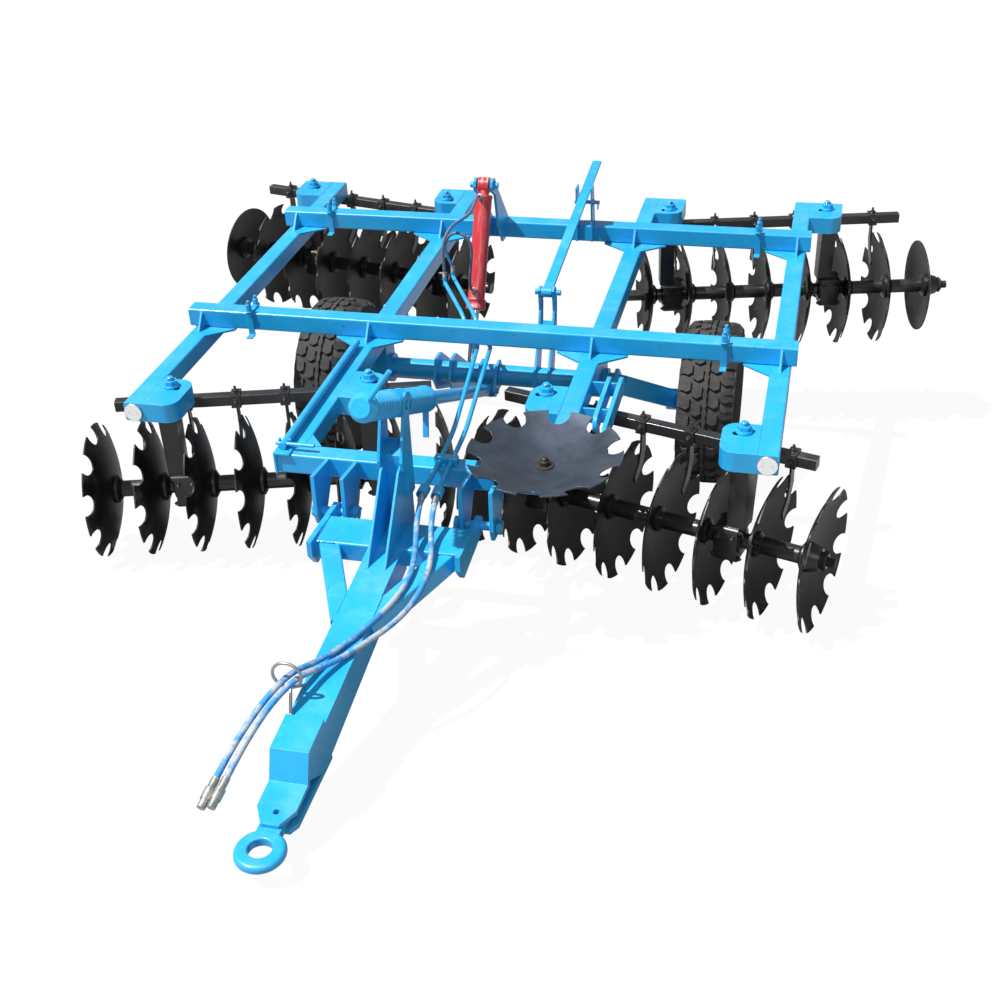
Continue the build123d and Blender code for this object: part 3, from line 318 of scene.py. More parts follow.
class Shading:
    """A node tree under construction, with its shader already in place."""

    def __init__(self, name):
        self.material = bpy.data.materials.new(name)
        self.material.use_nodes = True
        self.tree = self.material.node_tree
        self.tree.nodes.clear()
        self.shader = self.tree.nodes.new("ShaderNodeBsdfPrincipled")
        output = self.tree.nodes.new("ShaderNodeOutputMaterial")
        self.tree.links.new(self.shader.outputs[0], output.inputs[0])
        self.coordinates = self.tree.nodes.new("ShaderNodeTexCoord").outputs["Object"]

    def add(self, kind, values=None, **settings):
        """A node with its settings and its input values or links."""
        node = self.tree.nodes.new("ShaderNode" + kind)
        for key, value in settings.items():
            setattr(node, key, value)
        for key, value in (values or {}).items():
            self.put(node.inputs[key], value)
        return node

    def put(self, socket, value):
        """Sets a socket's value, or links another socket to it."""
        if isinstance(value, bpy.types.NodeSocket):
            self.tree.links.new(value, socket)
        else:
            socket.default_value = value

    def finish(self, **values):
        """Fills the shader's sockets; names use underscores for spaces."""
        for key, value in values.items():
            self.put(self.shader.inputs[key.replace("_", " ")], value)
        return self.material

    def noise(self, scale, detail=4.0, roughness=0.55, stretch=None):
        """Noise from 0 to 1 in the piece's own coordinates."""
        vector = self.coordinates
        if stretch:
            vector = self.add("Mapping", {"Vector": vector, "Scale": stretch}).outputs[0]
        values = {"Vector": vector, "Scale": scale, "Detail": detail, "Roughness": roughness}
        return self.add("TexNoise", values).outputs[0]

    def ramp(self, value, low, high, start=0.0, end=1.0):
        """Maps a range of a value smoothly on to another."""
        values = {"Value": value, "From Min": low, "From Max": high, "To Min": start, "To Max": end}
        return self.add("MapRange", values, interpolation_type="SMOOTHSTEP").outputs[0]

    def times(self, first, second):
        """The product of two values."""
        return self.add("Math", {0: first, 1: second}, operation="MULTIPLY").outputs[0]

    def plus(self, first, second):
        """The sum of two values."""
        return self.add("Math", {0: first, 1: second}, operation="ADD").outputs[0]

    def blend(self, share, first, second):
        """Mixes two colours."""
        node = self.add("Mix", data_type="RGBA")
        self.put(node.inputs[0], share)
        self.put(node.inputs[6], first)
        self.put(node.inputs[7], second)
        return node.outputs[2]

    def up_facing(self):
        """How far the surface faces the sky, where dust settles."""
        normal = self.add("NewGeometry").outputs["Normal"]
        return self.add("SeparateXYZ", {0: normal}).outputs["Z"]

    def soft_edges(self, radius):
        """The surface direction with small rounded edges."""
        return self.add("Bevel", {"Radius": radius}, samples=4).outputs[0]

    def edge_share(self, rounded):
        """From 0 on a flat to 1 on an outer edge."""
        normal = self.add("NewGeometry").outputs["Normal"]
        dot = self.add("VectorMath", {0: rounded, 1: normal}, operation="DOT_PRODUCT").outputs["Value"]
        return self.ramp(dot, 0.995, 0.86)

    def bump(self, height, strength, distance, normal=None):
        """Small relief of the surface."""
        values = {"Height": height, "Strength": strength, "Distance": distance}
        if normal is not None:
            values["Normal"] = normal
        return self.add("Bump", values).outputs[0]


def paint_finish(name, base, shade, worn, dust, dust_share, wear, rough, coat, chip=0.0):
    """Sprayed paint with worn edges, settled dust and small chips."""
    s = Shading(name)
    rounded = s.soft_edges(0.0022)
    broad = s.noise(2.6, 3)
    fine = s.noise(46, 5, 0.6)
    grit = s.noise(210, 3, 0.7)
    colour = s.blend(s.ramp(broad, 0.3, 0.72), tint(shade), tint(base))
    colour = s.blend(s.ramp(fine, 0.58, 0.8, 0, 0.16), colour, tint(worn))
    settled = s.times(s.ramp(s.up_facing(), 0.2, 0.95), s.ramp(s.noise(7.5, 6, 0.68), 0.42, 0.78))
    settled = s.times(settled, dust_share)
    colour = s.blend(settled, colour, tint(dust))
    scuffed = s.times(s.edge_share(rounded), s.ramp(s.noise(34, 4, 0.7), 0.34, 0.62))
    scuffed = s.times(scuffed, wear)
    colour = s.blend(scuffed, colour, tint(worn))
    roughness = s.plus(s.ramp(fine, 0.3, 0.8, rough, rough + 0.16), s.times(settled, 0.6))
    if chip:
        flakes = s.ramp(s.noise(58, 2, 0.5), 0.76 - chip, 0.785 - chip)
        colour = s.blend(flakes, colour, (0.045, 0.03, 0.022, 1))
        roughness = s.plus(roughness, s.times(flakes, 0.3))
    relief = s.bump(s.plus(s.times(fine, 0.5), s.times(grit, 0.3)), 0.22, 0.0009, rounded)
    return s.finish(Base_Color=colour, Roughness=roughness, Normal=relief, Coat_Weight=coat,
                    Coat_Roughness=0.16, Specular_IOR_Level=0.5)


def disc_finish(name, origin, axis, steel, soil):
    """Dark disc steel, with dried soil that thickens toward the rim of a gang's discs."""
    s = Shading(name)
    rounded = s.soft_edges(0.0012)
    start = s.add("VectorMath", {0: s.coordinates, 1: tuple(origin)}, operation="SUBTRACT").outputs[0]
    along = s.add("VectorMath", {0: start, 1: tuple(axis)}, operation="DOT_PRODUCT").outputs["Value"]
    run = s.add("VectorMath", {0: tuple(axis)}, operation="SCALE")
    s.put(run.inputs["Scale"], along)
    away = s.add("VectorMath", {0: start, 1: run.outputs[0]}, operation="SUBTRACT").outputs[0]
    radius = s.add("VectorMath", {0: away}, operation="LENGTH").outputs["Value"]
    patches = s.noise(11, 6, 0.66)
    fine = s.noise(75, 5, 0.68)
    colour = s.blend(s.ramp(patches, 0.3, 0.75), tint(steel, 0.55), tint(steel))
    rimward = s.ramp(radius, DISC_R * MILLI * 0.5, DISC_R * MILLI)
    earth = s.times(s.plus(rimward, 0.1), s.ramp(patches, 0.4, 0.7))
    earth = s.times(earth, s.ramp(fine, 0.3, 0.66, 0.15, 0.8))
    colour = s.blend(earth, colour, tint(soil))
    turned = s.add("Math", {0: s.times(radius, 900)}, operation="SINE").outputs[0]
    edge = s.times(s.edge_share(rounded), 0.45)
    colour = s.blend(edge, colour, (0.2, 0.17, 0.14, 1))
    height = s.plus(s.times(fine, 0.7), s.times(turned, 0.05))
    relief = s.bump(s.plus(height, s.times(earth, 0.6)), 0.4, 0.0012, rounded)
    rough = s.ramp(earth, 0.0, 0.8, 0.42, 0.86)
    metallic = s.ramp(earth, 0.1, 0.6, 0.35, 0.0)
    return s.finish(Base_Color=colour, Metallic=metallic, Roughness=rough, Normal=relief)


def spare_finish(name, steel):
    """Blue-grey rolled steel, with faint turning marks and a bloom of oxide."""
    s = Shading(name)
    rounded = s.soft_edges(0.0012)
    cloud = s.noise(6.5, 5, 0.6)
    fine = s.noise(120, 4, 0.62)
    colour = s.blend(s.ramp(cloud, 0.3, 0.72), tint(steel, 0.72), tint(steel, 1.18))
    bloom = s.times(s.ramp(s.noise(19, 6, 0.7), 0.58, 0.76), 0.4)
    colour = s.blend(bloom, colour, (0.16, 0.12, 0.095, 1))
    colour = s.blend(s.times(s.edge_share(rounded), 0.7), colour, (0.46, 0.48, 0.5, 1))
    relief = s.bump(s.plus(fine, s.times(cloud, 0.6)), 0.16, 0.0008, rounded)
    rough = s.ramp(cloud, 0.2, 0.8, 0.34, 0.52)
    return s.finish(Base_Color=colour, Metallic=0.55, Roughness=rough, Normal=relief)


def rubber_finish(name, rubber, soil):
    """Tyre rubber with dust on its lugs and dried soil between them."""
    s = Shading(name)
    patches = s.noise(9, 6, 0.7)
    fine = s.noise(95, 5, 0.7)
    colour = s.blend(s.ramp(fine, 0.3, 0.75), tint(rubber), tint(rubber, 1.9))
    dusted = s.times(s.ramp(patches, 0.32, 0.68, 0.12, 0.8), s.ramp(fine, 0.25, 0.7, 0.45, 1.0))
    colour = s.blend(dusted, colour, tint(soil))
    relief = s.bump(s.plus(fine, s.times(patches, 0.8)), 0.5, 0.0012)
    rough = s.ramp(dusted, 0, 0.8, 0.62, 0.92)
    return s.finish(Base_Color=colour, Roughness=rough, Normal=relief, Specular_IOR_Level=0.3)


def steel_finish(name, base, rough, metallic, stain):
    """Bare or plated steel with fine grain and some staining."""
    s = Shading(name)
    rounded = s.soft_edges(0.0008)
    grain = s.noise(160, 4, 0.6)
    cloud = s.noise(30, 5, 0.65)
    colour = s.blend(s.ramp(cloud, 0.3, 0.75), tint(base, 0.78), tint(base))
    stained = s.times(s.ramp(s.noise(62, 5, 0.7), 0.55, 0.74), stain)
    colour = s.blend(stained, colour, (0.13, 0.085, 0.055, 1))
    relief = s.bump(grain, 0.12, 0.0005, rounded)
    dull = s.ramp(cloud, 0.25, 0.8, rough, rough + 0.18)
    return s.finish(Base_Color=colour, Metallic=metallic, Roughness=dull, Normal=relief)


def chrome_finish(name):
    """Hard chrome on the piston rod, with oil smears."""
    s = Shading(name)
    smear = s.noise(22, 4, 0.6, (1.0, 0.25, 0.25))
    colour = s.blend(s.ramp(smear, 0.4, 0.8, 0, 0.35), (0.78, 0.79, 0.81, 1), (0.5, 0.47, 0.42, 1))
    relief = s.bump(s.noise(240, 2), 0.04, 0.0003)
    rough = s.ramp(smear, 0.3, 0.8, 0.1, 0.24)
    return s.finish(Base_Color=colour, Metallic=1.0, Roughness=rough, Normal=relief)


def cylinder_finish(name, red, pale):
    """Red cylinder paint with a long pale rubbed streak on its upper side."""
    s = Shading(name)
    rounded = s.soft_edges(0.002)
    streak = s.noise(5.5, 5, 0.62, (5.5, 1.0, 1.0))
    fine = s.noise(70, 5, 0.65)
    colour = s.blend(s.ramp(fine, 0.3, 0.8, 0, 0.3), tint(red), tint(red, 0.6))
    rubbed = s.times(s.ramp(streak, 0.46, 0.6), s.ramp(s.up_facing(), 0.1, 0.75))
    rubbed = s.times(rubbed, s.ramp(fine, 0.3, 0.55, 0.5, 0.9))
    colour = s.blend(rubbed, colour, tint(pale))
    colour = s.blend(s.times(s.edge_share(rounded), 0.5), colour, tint(pale))
    relief = s.bump(fine, 0.18, 0.0007, rounded)
    rough = s.ramp(rubbed, 0, 1, 0.3, 0.55)
    return s.finish(Base_Color=colour, Roughness=rough, Normal=relief, Coat_Weight=0.25, Coat_Roughness=0.2)


def hose_finish(name, sleeve, blue, share):
    """A hose's woven sleeve, rubbed and partly painted over."""
    s = Shading(name)
    weave = s.add("TexVoronoi", {"Vector": s.coordinates, "Scale": 420.0}).outputs[0]
    cloud = s.noise(13, 5, 0.66)
    painted = s.ramp(cloud, 0.5 - share * 0.3, 0.62 - share * 0.2)
    colour = s.blend(painted, tint(sleeve), tint(blue))
    colour = s.blend(s.ramp(s.noise(48, 5, 0.7), 0.56, 0.72, 0, 0.75), colour, (0.055, 0.06, 0.07, 1))
    relief = s.bump(weave, 0.5, 0.0007)
    return s.finish(Base_Color=colour, Roughness=s.ramp(cloud, 0.3, 0.8, 0.5, 0.75), Normal=relief)


def reflector_finish(name):
    """A pale reflector with small moulded prisms."""
    s = Shading(name)
    cells = s.add("TexVoronoi", {"Vector": s.coordinates, "Scale": 260.0}, feature="DISTANCE_TO_EDGE")
    relief = s.bump(s.ramp(cells.outputs[0], 0, 0.3), 0.5, 0.0008)
    grime = s.ramp(s.noise(25, 4), 0.5, 0.8, 0, 0.3)
    colour = s.blend(grime, (0.83, 0.85, 0.85, 1), (0.58, 0.56, 0.52, 1))
    return s.finish(Base_Color=colour, Roughness=0.22, Normal=relief, Coat_Weight=0.6, Coat_Roughness=0.08)


def gang_axes(name, side):
    """The start of a gang's shaft, with its outward and its rearward direction."""
    gang = GANGS[name]
    angle = math.radians(gang["angle"])
    outward = Vector((side * math.cos(angle), -math.sin(angle), 0))
    rearward = Vector((side * math.sin(angle), math.cos(angle), 0))
    start = Vector((side * gang["start"][0], gang["start"][1], gang["start"][2]))
    return start, outward, rearward


def seat_drop():
    """How far the flat seat of a dished disc stands behind its rim."""
    ball = (DISC_R ** 2 + DISH ** 2) / (2 * DISH)
    return math.sqrt(ball ** 2 - SEAT_R ** 2) - (ball - DISH)


def seat_faces(index, dish):
    """The two faces of the flat seat of disc number index, along its gang."""
    near = -(index - 1) * PITCH + dish * seat_drop()
    far = near + dish * DISC_THICK
    return min(near, far), max(near, far)


def bearing_station(index, dish):
    """Where a bearing housing stands along its gang."""
    return (seat_faces(index, dish)[0] + seat_faces(index + 1, dish)[1]) / 2


def bar_top(y):
    """Height of the drawbar's upper face at a place along it."""
    return PIVOT_BEAM[2] + BAR_SLOPE * (y - PIVOT_BEAM[0] - BAR_FOOT)


def along_rod(y):
    """Distance down the levelling rod from its cap to a place along the machine."""
    run = Vector((LEVEL_PIN[0] - ROD_FRONT[0], LEVEL_PIN[1] - ROD_FRONT[1]))
    return (y - ROD_FRONT[0]) * run.length / run.x


class HarrowPaint(PropertyGroup):
    """Colours of the painted and bare surfaces."""

    blue: FloatVectorProperty(name="Blue paint", description="Base colour of the frame", subtype="COLOR",
                              default=(0.012, 0.36, 0.72), min=0, max=1)
    blue_shade: FloatVectorProperty(name="Blue shade", description="Darker patches of the frame paint",
                                    subtype="COLOR", default=(0.008, 0.30, 0.62), min=0, max=1)
    blue_worn: FloatVectorProperty(name="Rubbed edge", description="Light colour along rubbed edges",
                                   subtype="COLOR", default=(0.20, 0.70, 0.88), min=0, max=1)
    dust: FloatVectorProperty(name="Dust", description="Dust that settles on top", subtype="COLOR",
                              default=(0.20, 0.46, 0.58), min=0, max=1)
    black: FloatVectorProperty(name="Gang black", description="Paint of the hangers and scraper bars",
                               subtype="COLOR", default=(0.017, 0.017, 0.018), min=0, max=1)
    red: FloatVectorProperty(name="Cylinder red", description="Paint of the lift cylinder", subtype="COLOR",
                             default=(0.52, 0.028, 0.035), min=0, max=1)
    soil: FloatVectorProperty(name="Soil", description="Dried soil on discs and tyres", subtype="COLOR",
                              default=(0.105, 0.078, 0.052), min=0, max=1)
    steel: FloatVectorProperty(name="Disc steel", description="Dark steel of the discs", subtype="COLOR",
                               default=(0.011, 0.0105, 0.010), min=0, max=1)
    spare: FloatVectorProperty(name="Spare steel", description="Blue-grey steel of the spare disc",
                               subtype="COLOR", default=(0.062, 0.078, 0.108), min=0, max=1)


class HarrowTyre(PropertyGroup):
    """Sizes of the tyre tread."""

    lugs: IntProperty(name="Lugs", description="Lugs round one side of the tread", default=30, min=12, max=60)
    depth: FloatProperty(name="Tread depth", description="Depth of the grooves", default=0.013, min=0.004,
                         max=0.03, unit="LENGTH")


class HarrowSpring(PropertyGroup):
    """Sizes of the levelling rod's coil springs."""

    wire: FloatProperty(name="Wire", description="Diameter of the spring wire", default=0.0155, min=0.004,
                        max=0.02, unit="LENGTH")
    coil: FloatProperty(name="Coil", description="Outer diameter of the coils", default=0.096, min=0.05,
                        max=0.1, unit="LENGTH")
    pitch: FloatProperty(name="Pitch", description="Distance from one coil to the next", default=0.029,
                         min=0.01, max=0.05, unit="LENGTH")


class HarrowStage(PropertyGroup):
    """Floor and light."""

    floor: FloatVectorProperty(name="Floor", description="Colour of the floor", subtype="COLOR",
                               default=(0.3, 0.3, 0.3), min=0, max=1)
    key: FloatProperty(name="Key light", description="Strength of the sun", default=6.2, min=0, max=20)
    fill: FloatProperty(name="Fill light", description="Strength of the sky on the machine", default=0.3,
                        min=0, max=5)


class HARROW_OT_finishes(Operator):
    """Make the materials and give each packed node its finish"""

    bl_idname = "harrow.finishes"
    bl_label = "Paint and steel"

    def execute(self, context):
        paint = context.scene.harrow_paint
        blue, shade = tuple(paint.blue), tuple(paint.blue_shade)
        worn, dust, soil = tuple(paint.blue_worn), tuple(paint.dust), tuple(paint.soil)
        black, red, steel = tuple(paint.black), tuple(paint.red), tuple(paint.steel)
        black_shade = tuple(c * 0.6 for c in black)
        FINISHES["blue"] = paint_finish("Frame blue", blue, shade, worn, dust,
                                        dust_share=0.3, wear=0.75, rough=0.3, coat=0.4, chip=0.02)
        FINISHES["black"] = paint_finish("Gang black", black, black_shade, (0.16, 0.13, 0.1), soil,
                                         dust_share=0.35, wear=0.4, rough=0.3, coat=0.4, chip=0.02)
        FINISHES["red"] = cylinder_finish("Cylinder red", red, (0.72, 0.5, 0.52))
        FINISHES["chrome"] = chrome_finish("Rod chrome")
        FINISHES["zinc"] = steel_finish("Plated steel", (0.5, 0.5, 0.48), rough=0.32, metallic=0.85,
                                        stain=0.3)
        FINISHES["dark_steel"] = steel_finish("Dark bolts", (0.06, 0.055, 0.05), rough=0.45, metallic=0.6,
                                              stain=0.5)
        FINISHES["spare"] = spare_finish("Spare disc steel", tuple(paint.spare))
        FINISHES["rubber"] = rubber_finish("Tyre rubber", (0.012, 0.012, 0.012), (0.088, 0.084, 0.08))
        FINISHES["reflector"] = reflector_finish("Reflector face")
        FINISHES["yellow"] = paint_finish("Yellow mark", (0.72, 0.55, 0.04), (0.6, 0.42, 0.03),
                                          (0.8, 0.7, 0.3), soil,
                                          dust_share=0.3, wear=0.3, rough=0.5, coat=0.0)
        FINISHES["spring"] = paint_finish("Spring blue", blue, shade, (0.35, 0.66, 0.82), dust,
                                          dust_share=0.3, wear=0.8, rough=0.36, coat=0.3, chip=0.05)
        FINISHES["hose"] = hose_finish("Hose sleeve", (0.34, 0.39, 0.45), (0.03, 0.24, 0.56), share=0.25)
        FINISHES["loop"] = hose_finish("Loop hose sleeve", (0.10, 0.13, 0.18), (0.04, 0.2, 0.45), share=0.1)
        to_machine = STANCE.inverted()
        for name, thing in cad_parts.items():
            finish = self.finish_of(name, steel, soil)
            thing.data.materials.clear()
            thing.data.materials.append(finish)
            for polygon in thing.data.polygons:
                polygon.material_index = 0
            if name.startswith("gang_hangers"):
                thing.data.materials.append(FINISHES["blue"])
                for polygon in thing.data.polygons:
                    if (to_machine @ polygon.center).z > (LOW_TOP - 1) * MILLI:
                        polygon.material_index = 1
        return {"FINISHED"}

    def finish_of(self, name, steel, soil):
        """The finish that belongs to a node."""
        if name.startswith("discs_"):
            _, gang, side = name.split("_")
            start, outward, _ = gang_axes(gang, 1 if side == "right" else -1)
            axis = STANCE.to_3x3() @ outward
            return disc_finish(f"Disc steel {gang} {side}", stand(start), axis, steel, soil)
        for start, finish in (("gang_", "black"), ("scraper_", "black"), ("tyre", "rubber")):
            if name.startswith(start):
                return FINISHES[finish]
        exact = {
            "spare_disc": "spare", "cylinder_barrel": "red", "cylinder_rod": "chrome",
            "reflectors": "reflector", "hose_couplers": "zinc", "hose_holder": "zinc",
        }
        if name in exact:
            return FINISHES[exact[name]]
        return FINISHES["hose"] if "_hose_" in name else FINISHES["blue"]


class HARROW_OT_tyres(Operator):
    """Build the tyres with their zigzag tread and ribbed walls"""

    bl_idname = "harrow.tyres"
    bl_label = "Tyres"

    # The fall of the tread and the radius of the wall, at shares of half the width
    CROWN = ((0.0, 0.0), (0.28, 1.0), (0.6, 3.5), (0.84, 9.0), (0.94, 18.0), (1.0, 34.0))
    WALL = (
        (0.975, 350), (0.985, 338), (1.0, 330), (1.0, 322), (0.982, 318), (0.99, 300), (1.0, 292), (1.0, 284),
        (0.975, 278), (0.95, 258), (0.96, 250), (0.93, 246), (0.86, 228), (0.86, 220), (0.78, 214),
        (0.74, RIM_R),
    )

    # Corners of the tread blocks, as shares of half the width and of the pitch
    SHOULDER = (
        (0.52, 0.02), (0.66, 0.16), (0.82, 0.06), (0.985, 0.1), (0.99, 0.58), (0.82, 0.56), (0.66, 0.66),
        (0.52, 0.52),
    )
    INNER = ((0.12, 0.3), (0.3, 0.46), (0.47, 0.32), (0.47, 0.86), (0.3, 1.0), (0.12, 0.84))
    RIB = (
        (-0.05, 0.0), (0.05, 0.0), (0.09, 0.25), (0.05, 0.5), (0.09, 0.75), (0.05, 1.0), (-0.05, 1.0),
        (-0.09, 0.75), (-0.05, 0.5), (-0.09, 0.25),
    )

    def crown(self, share):
        """How far the tread has fallen from the middle, at a share of half its width."""
        share = abs(share)
        for (a, low), (b, high) in zip(self.CROWN, self.CROWN[1:]):
            if share <= b:
                return low + (high - low) * (share - a) / (b - a)
        return self.CROWN[-1][1]

    def carcass(self, work, side, depth):
        """The tyre's body under the tread, with ribs on its walls."""
        outline = []
        for share in (-0.94, -0.8, -0.55, -0.25, 0, 0.25, 0.55, 0.8, 0.94):
            outline.append((share * TYRE_HALF, TYRE_R - self.crown(share) - depth))
        right = [(share * TYRE_HALF * 0.995, radius) for share, radius in self.WALL]
        left = [(-x, radius) for x, radius in reversed(right)]
        loops = []
        for angle in around(84):
            loops.append([
                (side * (WHEEL_X + x), *on_circle(HUB, radius, angle)) for x, radius in left + outline + right
            ])
        work.rings(loops, closed=True)

    def lug(self, work, side, corners, start, pitch, depth):
        """One tread block, a little narrower at its top."""
        top = []
        foot = []
        for share, turn in corners:
            angle = start + turn * pitch
            x = side * WHEEL_X + side * share * TYRE_HALF
            radius = TYRE_R - self.crown(share)
            for ring, reach in ((top, radius), (foot, radius - depth - 2)):
                ring.append((x, *on_circle(HUB, reach, angle)))
        middle = [sum(p[k] for p in top) / len(top) for k in range(3)]
        inset = [[p[k] + (middle[k] - p[k]) * 0.05 for k in range(3)] for p in top]
        lowered = [[p[k] + (f[k] - p[k]) * 0.12 for k in range(3)] for p, f in zip(top, foot)]
        work.rings([foot, lowered, inset])

    def execute(self, context):
        settings = context.scene.harrow_tyre
        depth = settings.depth / MILLI
        pitch = 2 * math.pi / settings.lugs
        for label, side in SIDES:
            blocks = []
            for hand, offset in ((-1, 0.5), (1, 0.0)):
                for shape in (self.SHOULDER, self.INNER):
                    corners = [(hand * share, turn + offset) for share, turn in shape]
                    blocks.append(corners[::hand * side])
            blocks.append(self.RIB[::side])
            work = Metalwork()
            self.carcass(work, side, depth)
            for k in range(settings.lugs):
                for corners in blocks:
                    self.lug(work, side, corners, k * pitch, pitch, depth)
            tyre = work.piece("tyre_tread_" + label, "wheel_" + label, "rubber", 40)
            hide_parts("tyre_" + label)
        return {"FINISHED"}


class HARROW_OT_wheel_parts(Operator):
    """Add wheel nuts, hub caps and valves"""

    bl_idname = "harrow.wheel_parts"
    bl_label = "Wheel nuts and hubs"

    # How far the nuts and the hub cap stand out of the wheel's middle, and the valve's foot as (out, y, z)
    NUTS = 5
    NUT_CIRCLE_R = 93
    NUT_OUT = 20
    CAP_OUT = 48
    VALVE_AT = (29, 20, 168)

    # Turned profiles, as (along, radius)
    HUB_CAP = ((0, 29), (3, 29), (4, 25), (20, 24), (26, 20), (29, 10), (30, 0))
    STEM = ((0, 8), (4, 8), (6, 5), (26, 4.5), (27, 5.5), (38, 5.5), (40, 4))

    def execute(self, context):
        for label, side in SIDES:
            nuts = Metalwork()
            out = (side, 0, 0)
            for k, angle in enumerate(around(self.NUTS, math.radians(18))):
                seat = (side * (WHEEL_X + self.NUT_OUT), *on_circle(HUB, self.NUT_CIRCLE_R, angle))
                nuts.bolt(seat, out, 24, k, 12)
            nuts.turned((side * (WHEEL_X + self.CAP_OUT), *HUB), out, self.HUB_CAP, 28)
            nuts.piece("wheel_nuts_" + label, "wheel_" + label, "dark_steel")
            valve = Metalwork()
            over, back, high = self.VALVE_AT
            foot = (side * (WHEEL_X + over), HUB[0] + back, HUB[1] + high)
            valve.turned(foot, (side * 0.8, 0, -0.6), self.STEM, 12)
            valve.piece("valve_" + label, "wheel_" + label, "rubber")
        return {"FINISHED"}


class HARROW_OT_springs(Operator):
    """Wind the two coil springs of the levelling rod"""

    bl_idname = "harrow.springs"
    bl_label = "Levelling springs"

    # Where the springs start on the rod, after its cap and after the trunnion, and their room at each end
    FIRST_START = 14
    SECOND_START = 54
    ROOM = 0.6

    def execute(self, context):
        settings = context.scene.harrow_spring
        wire = settings.wire / MILLI / 2
        radius = settings.coil / MILLI / 2 - wire
        pitch = settings.pitch / MILLI
        axis = Vector((0, LEVEL_PIN[0] - ROD_FRONT[0], LEVEL_PIN[1] - ROD_FRONT[1])).normalized()
        up = Vector((0, -axis.z, axis.y))
        start = Vector((0, *ROD_FRONT))
        ends = (
            (self.FIRST_START, along_rod(SPRING_ENDS[0])),
            (along_rod(TRUNNION_Y) + self.SECOND_START, along_rod(SPRING_ENDS[1])),
        )
        work = Metalwork()
        for first, last in ends:
            low, high = first + wire + self.ROOM, last - wire - self.ROOM
            turns = round((high - low - 2 * wire) / pitch) + 2
            steps = turns * 22
            path = []
            for k in range(steps + 1):
                t = k / steps
                eased = min(max((t * turns - 0.9) / (turns - 1.8), 0), 1)
                along = low + (high - low) * (eased * 0.94 + t * 0.06)
                angle = 2 * math.pi * t * turns
                path.append(start + axis * along + spoke(Vector((1, 0, 0)), up, angle) * radius)
            work.swept(path, wire, 10)
        spring = work.piece("coil_springs", "levelling_rod", "spring", 60)
        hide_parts("levelling_springs")
        return {"FINISHED"}


class HARROW_OT_hoses(Operator):
    """Lay the four oil hoses along their routes, with ferrules at their ends"""

    bl_idname = "harrow.hoses"
    bl_label = "Hoses"

    def execute(self, context):
        for name, route in HOSE_ROUTES.items():
            facts = HOSE_FACTS[name]
            points = [stand(p) for p in route]
            curve = bpy.data.curves.new(name + "_line", "CURVE")
            curve.dimensions = "3D"
            curve.bevel_depth = facts["radius"] * MILLI
            curve.bevel_resolution = 4
            curve.resolution_u = 10
            curve.use_fill_caps = True
            spline = curve.splines.new("NURBS")
            spline.points.add(len(points) - 1)
            for place, point in zip(spline.points, points):
                place.co = (*point, 1.0)
            spline.order_u = 3
            spline.use_endpoint_u = True
            curve.materials.append(FINISHES["hose" if facts["body"] == "drawbar" else "loop"])
            hose = bpy.data.objects.new(name + "_run", curve)
            context.scene.collection.objects.link(hose)
            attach(hose, facts["body"])
            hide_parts(name)
            fittings = [self.ferrules(name, route, facts)]
            if facts["body"] == "drawbar":
                fittings.append(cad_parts["hose_couplers"])
            tuple(points[0])
        return {"FINISHED"}

    def ferrules(self, name, route, facts):
        """Crimped sleeves on both ends of a hose."""
        work = Metalwork()
        r = facts["radius"]
        long = 3.6 * r
        profile = [(0.2, r + 1.2), (1, r + 2.4)]
        for k in range(5):
            near = long * (0.12 + 0.16 * k)
            far = near + long * 0.06
            profile += [(near, r + 2.4), (near + 0.6, r + 1.5), (far, r + 1.5), (far + 0.6, r + 2.4)]
        profile += [(long, r + 2.4), (long + 0.8, r + 0.2)]
        for end, inner in ((0, 1), (-1, -2)):
            start = Vector(route[end])
            work.turned(start, Vector(route[inner]) - start, profile, 18)
        return work.piece(name + "_ferrules", facts["body"], "zinc")


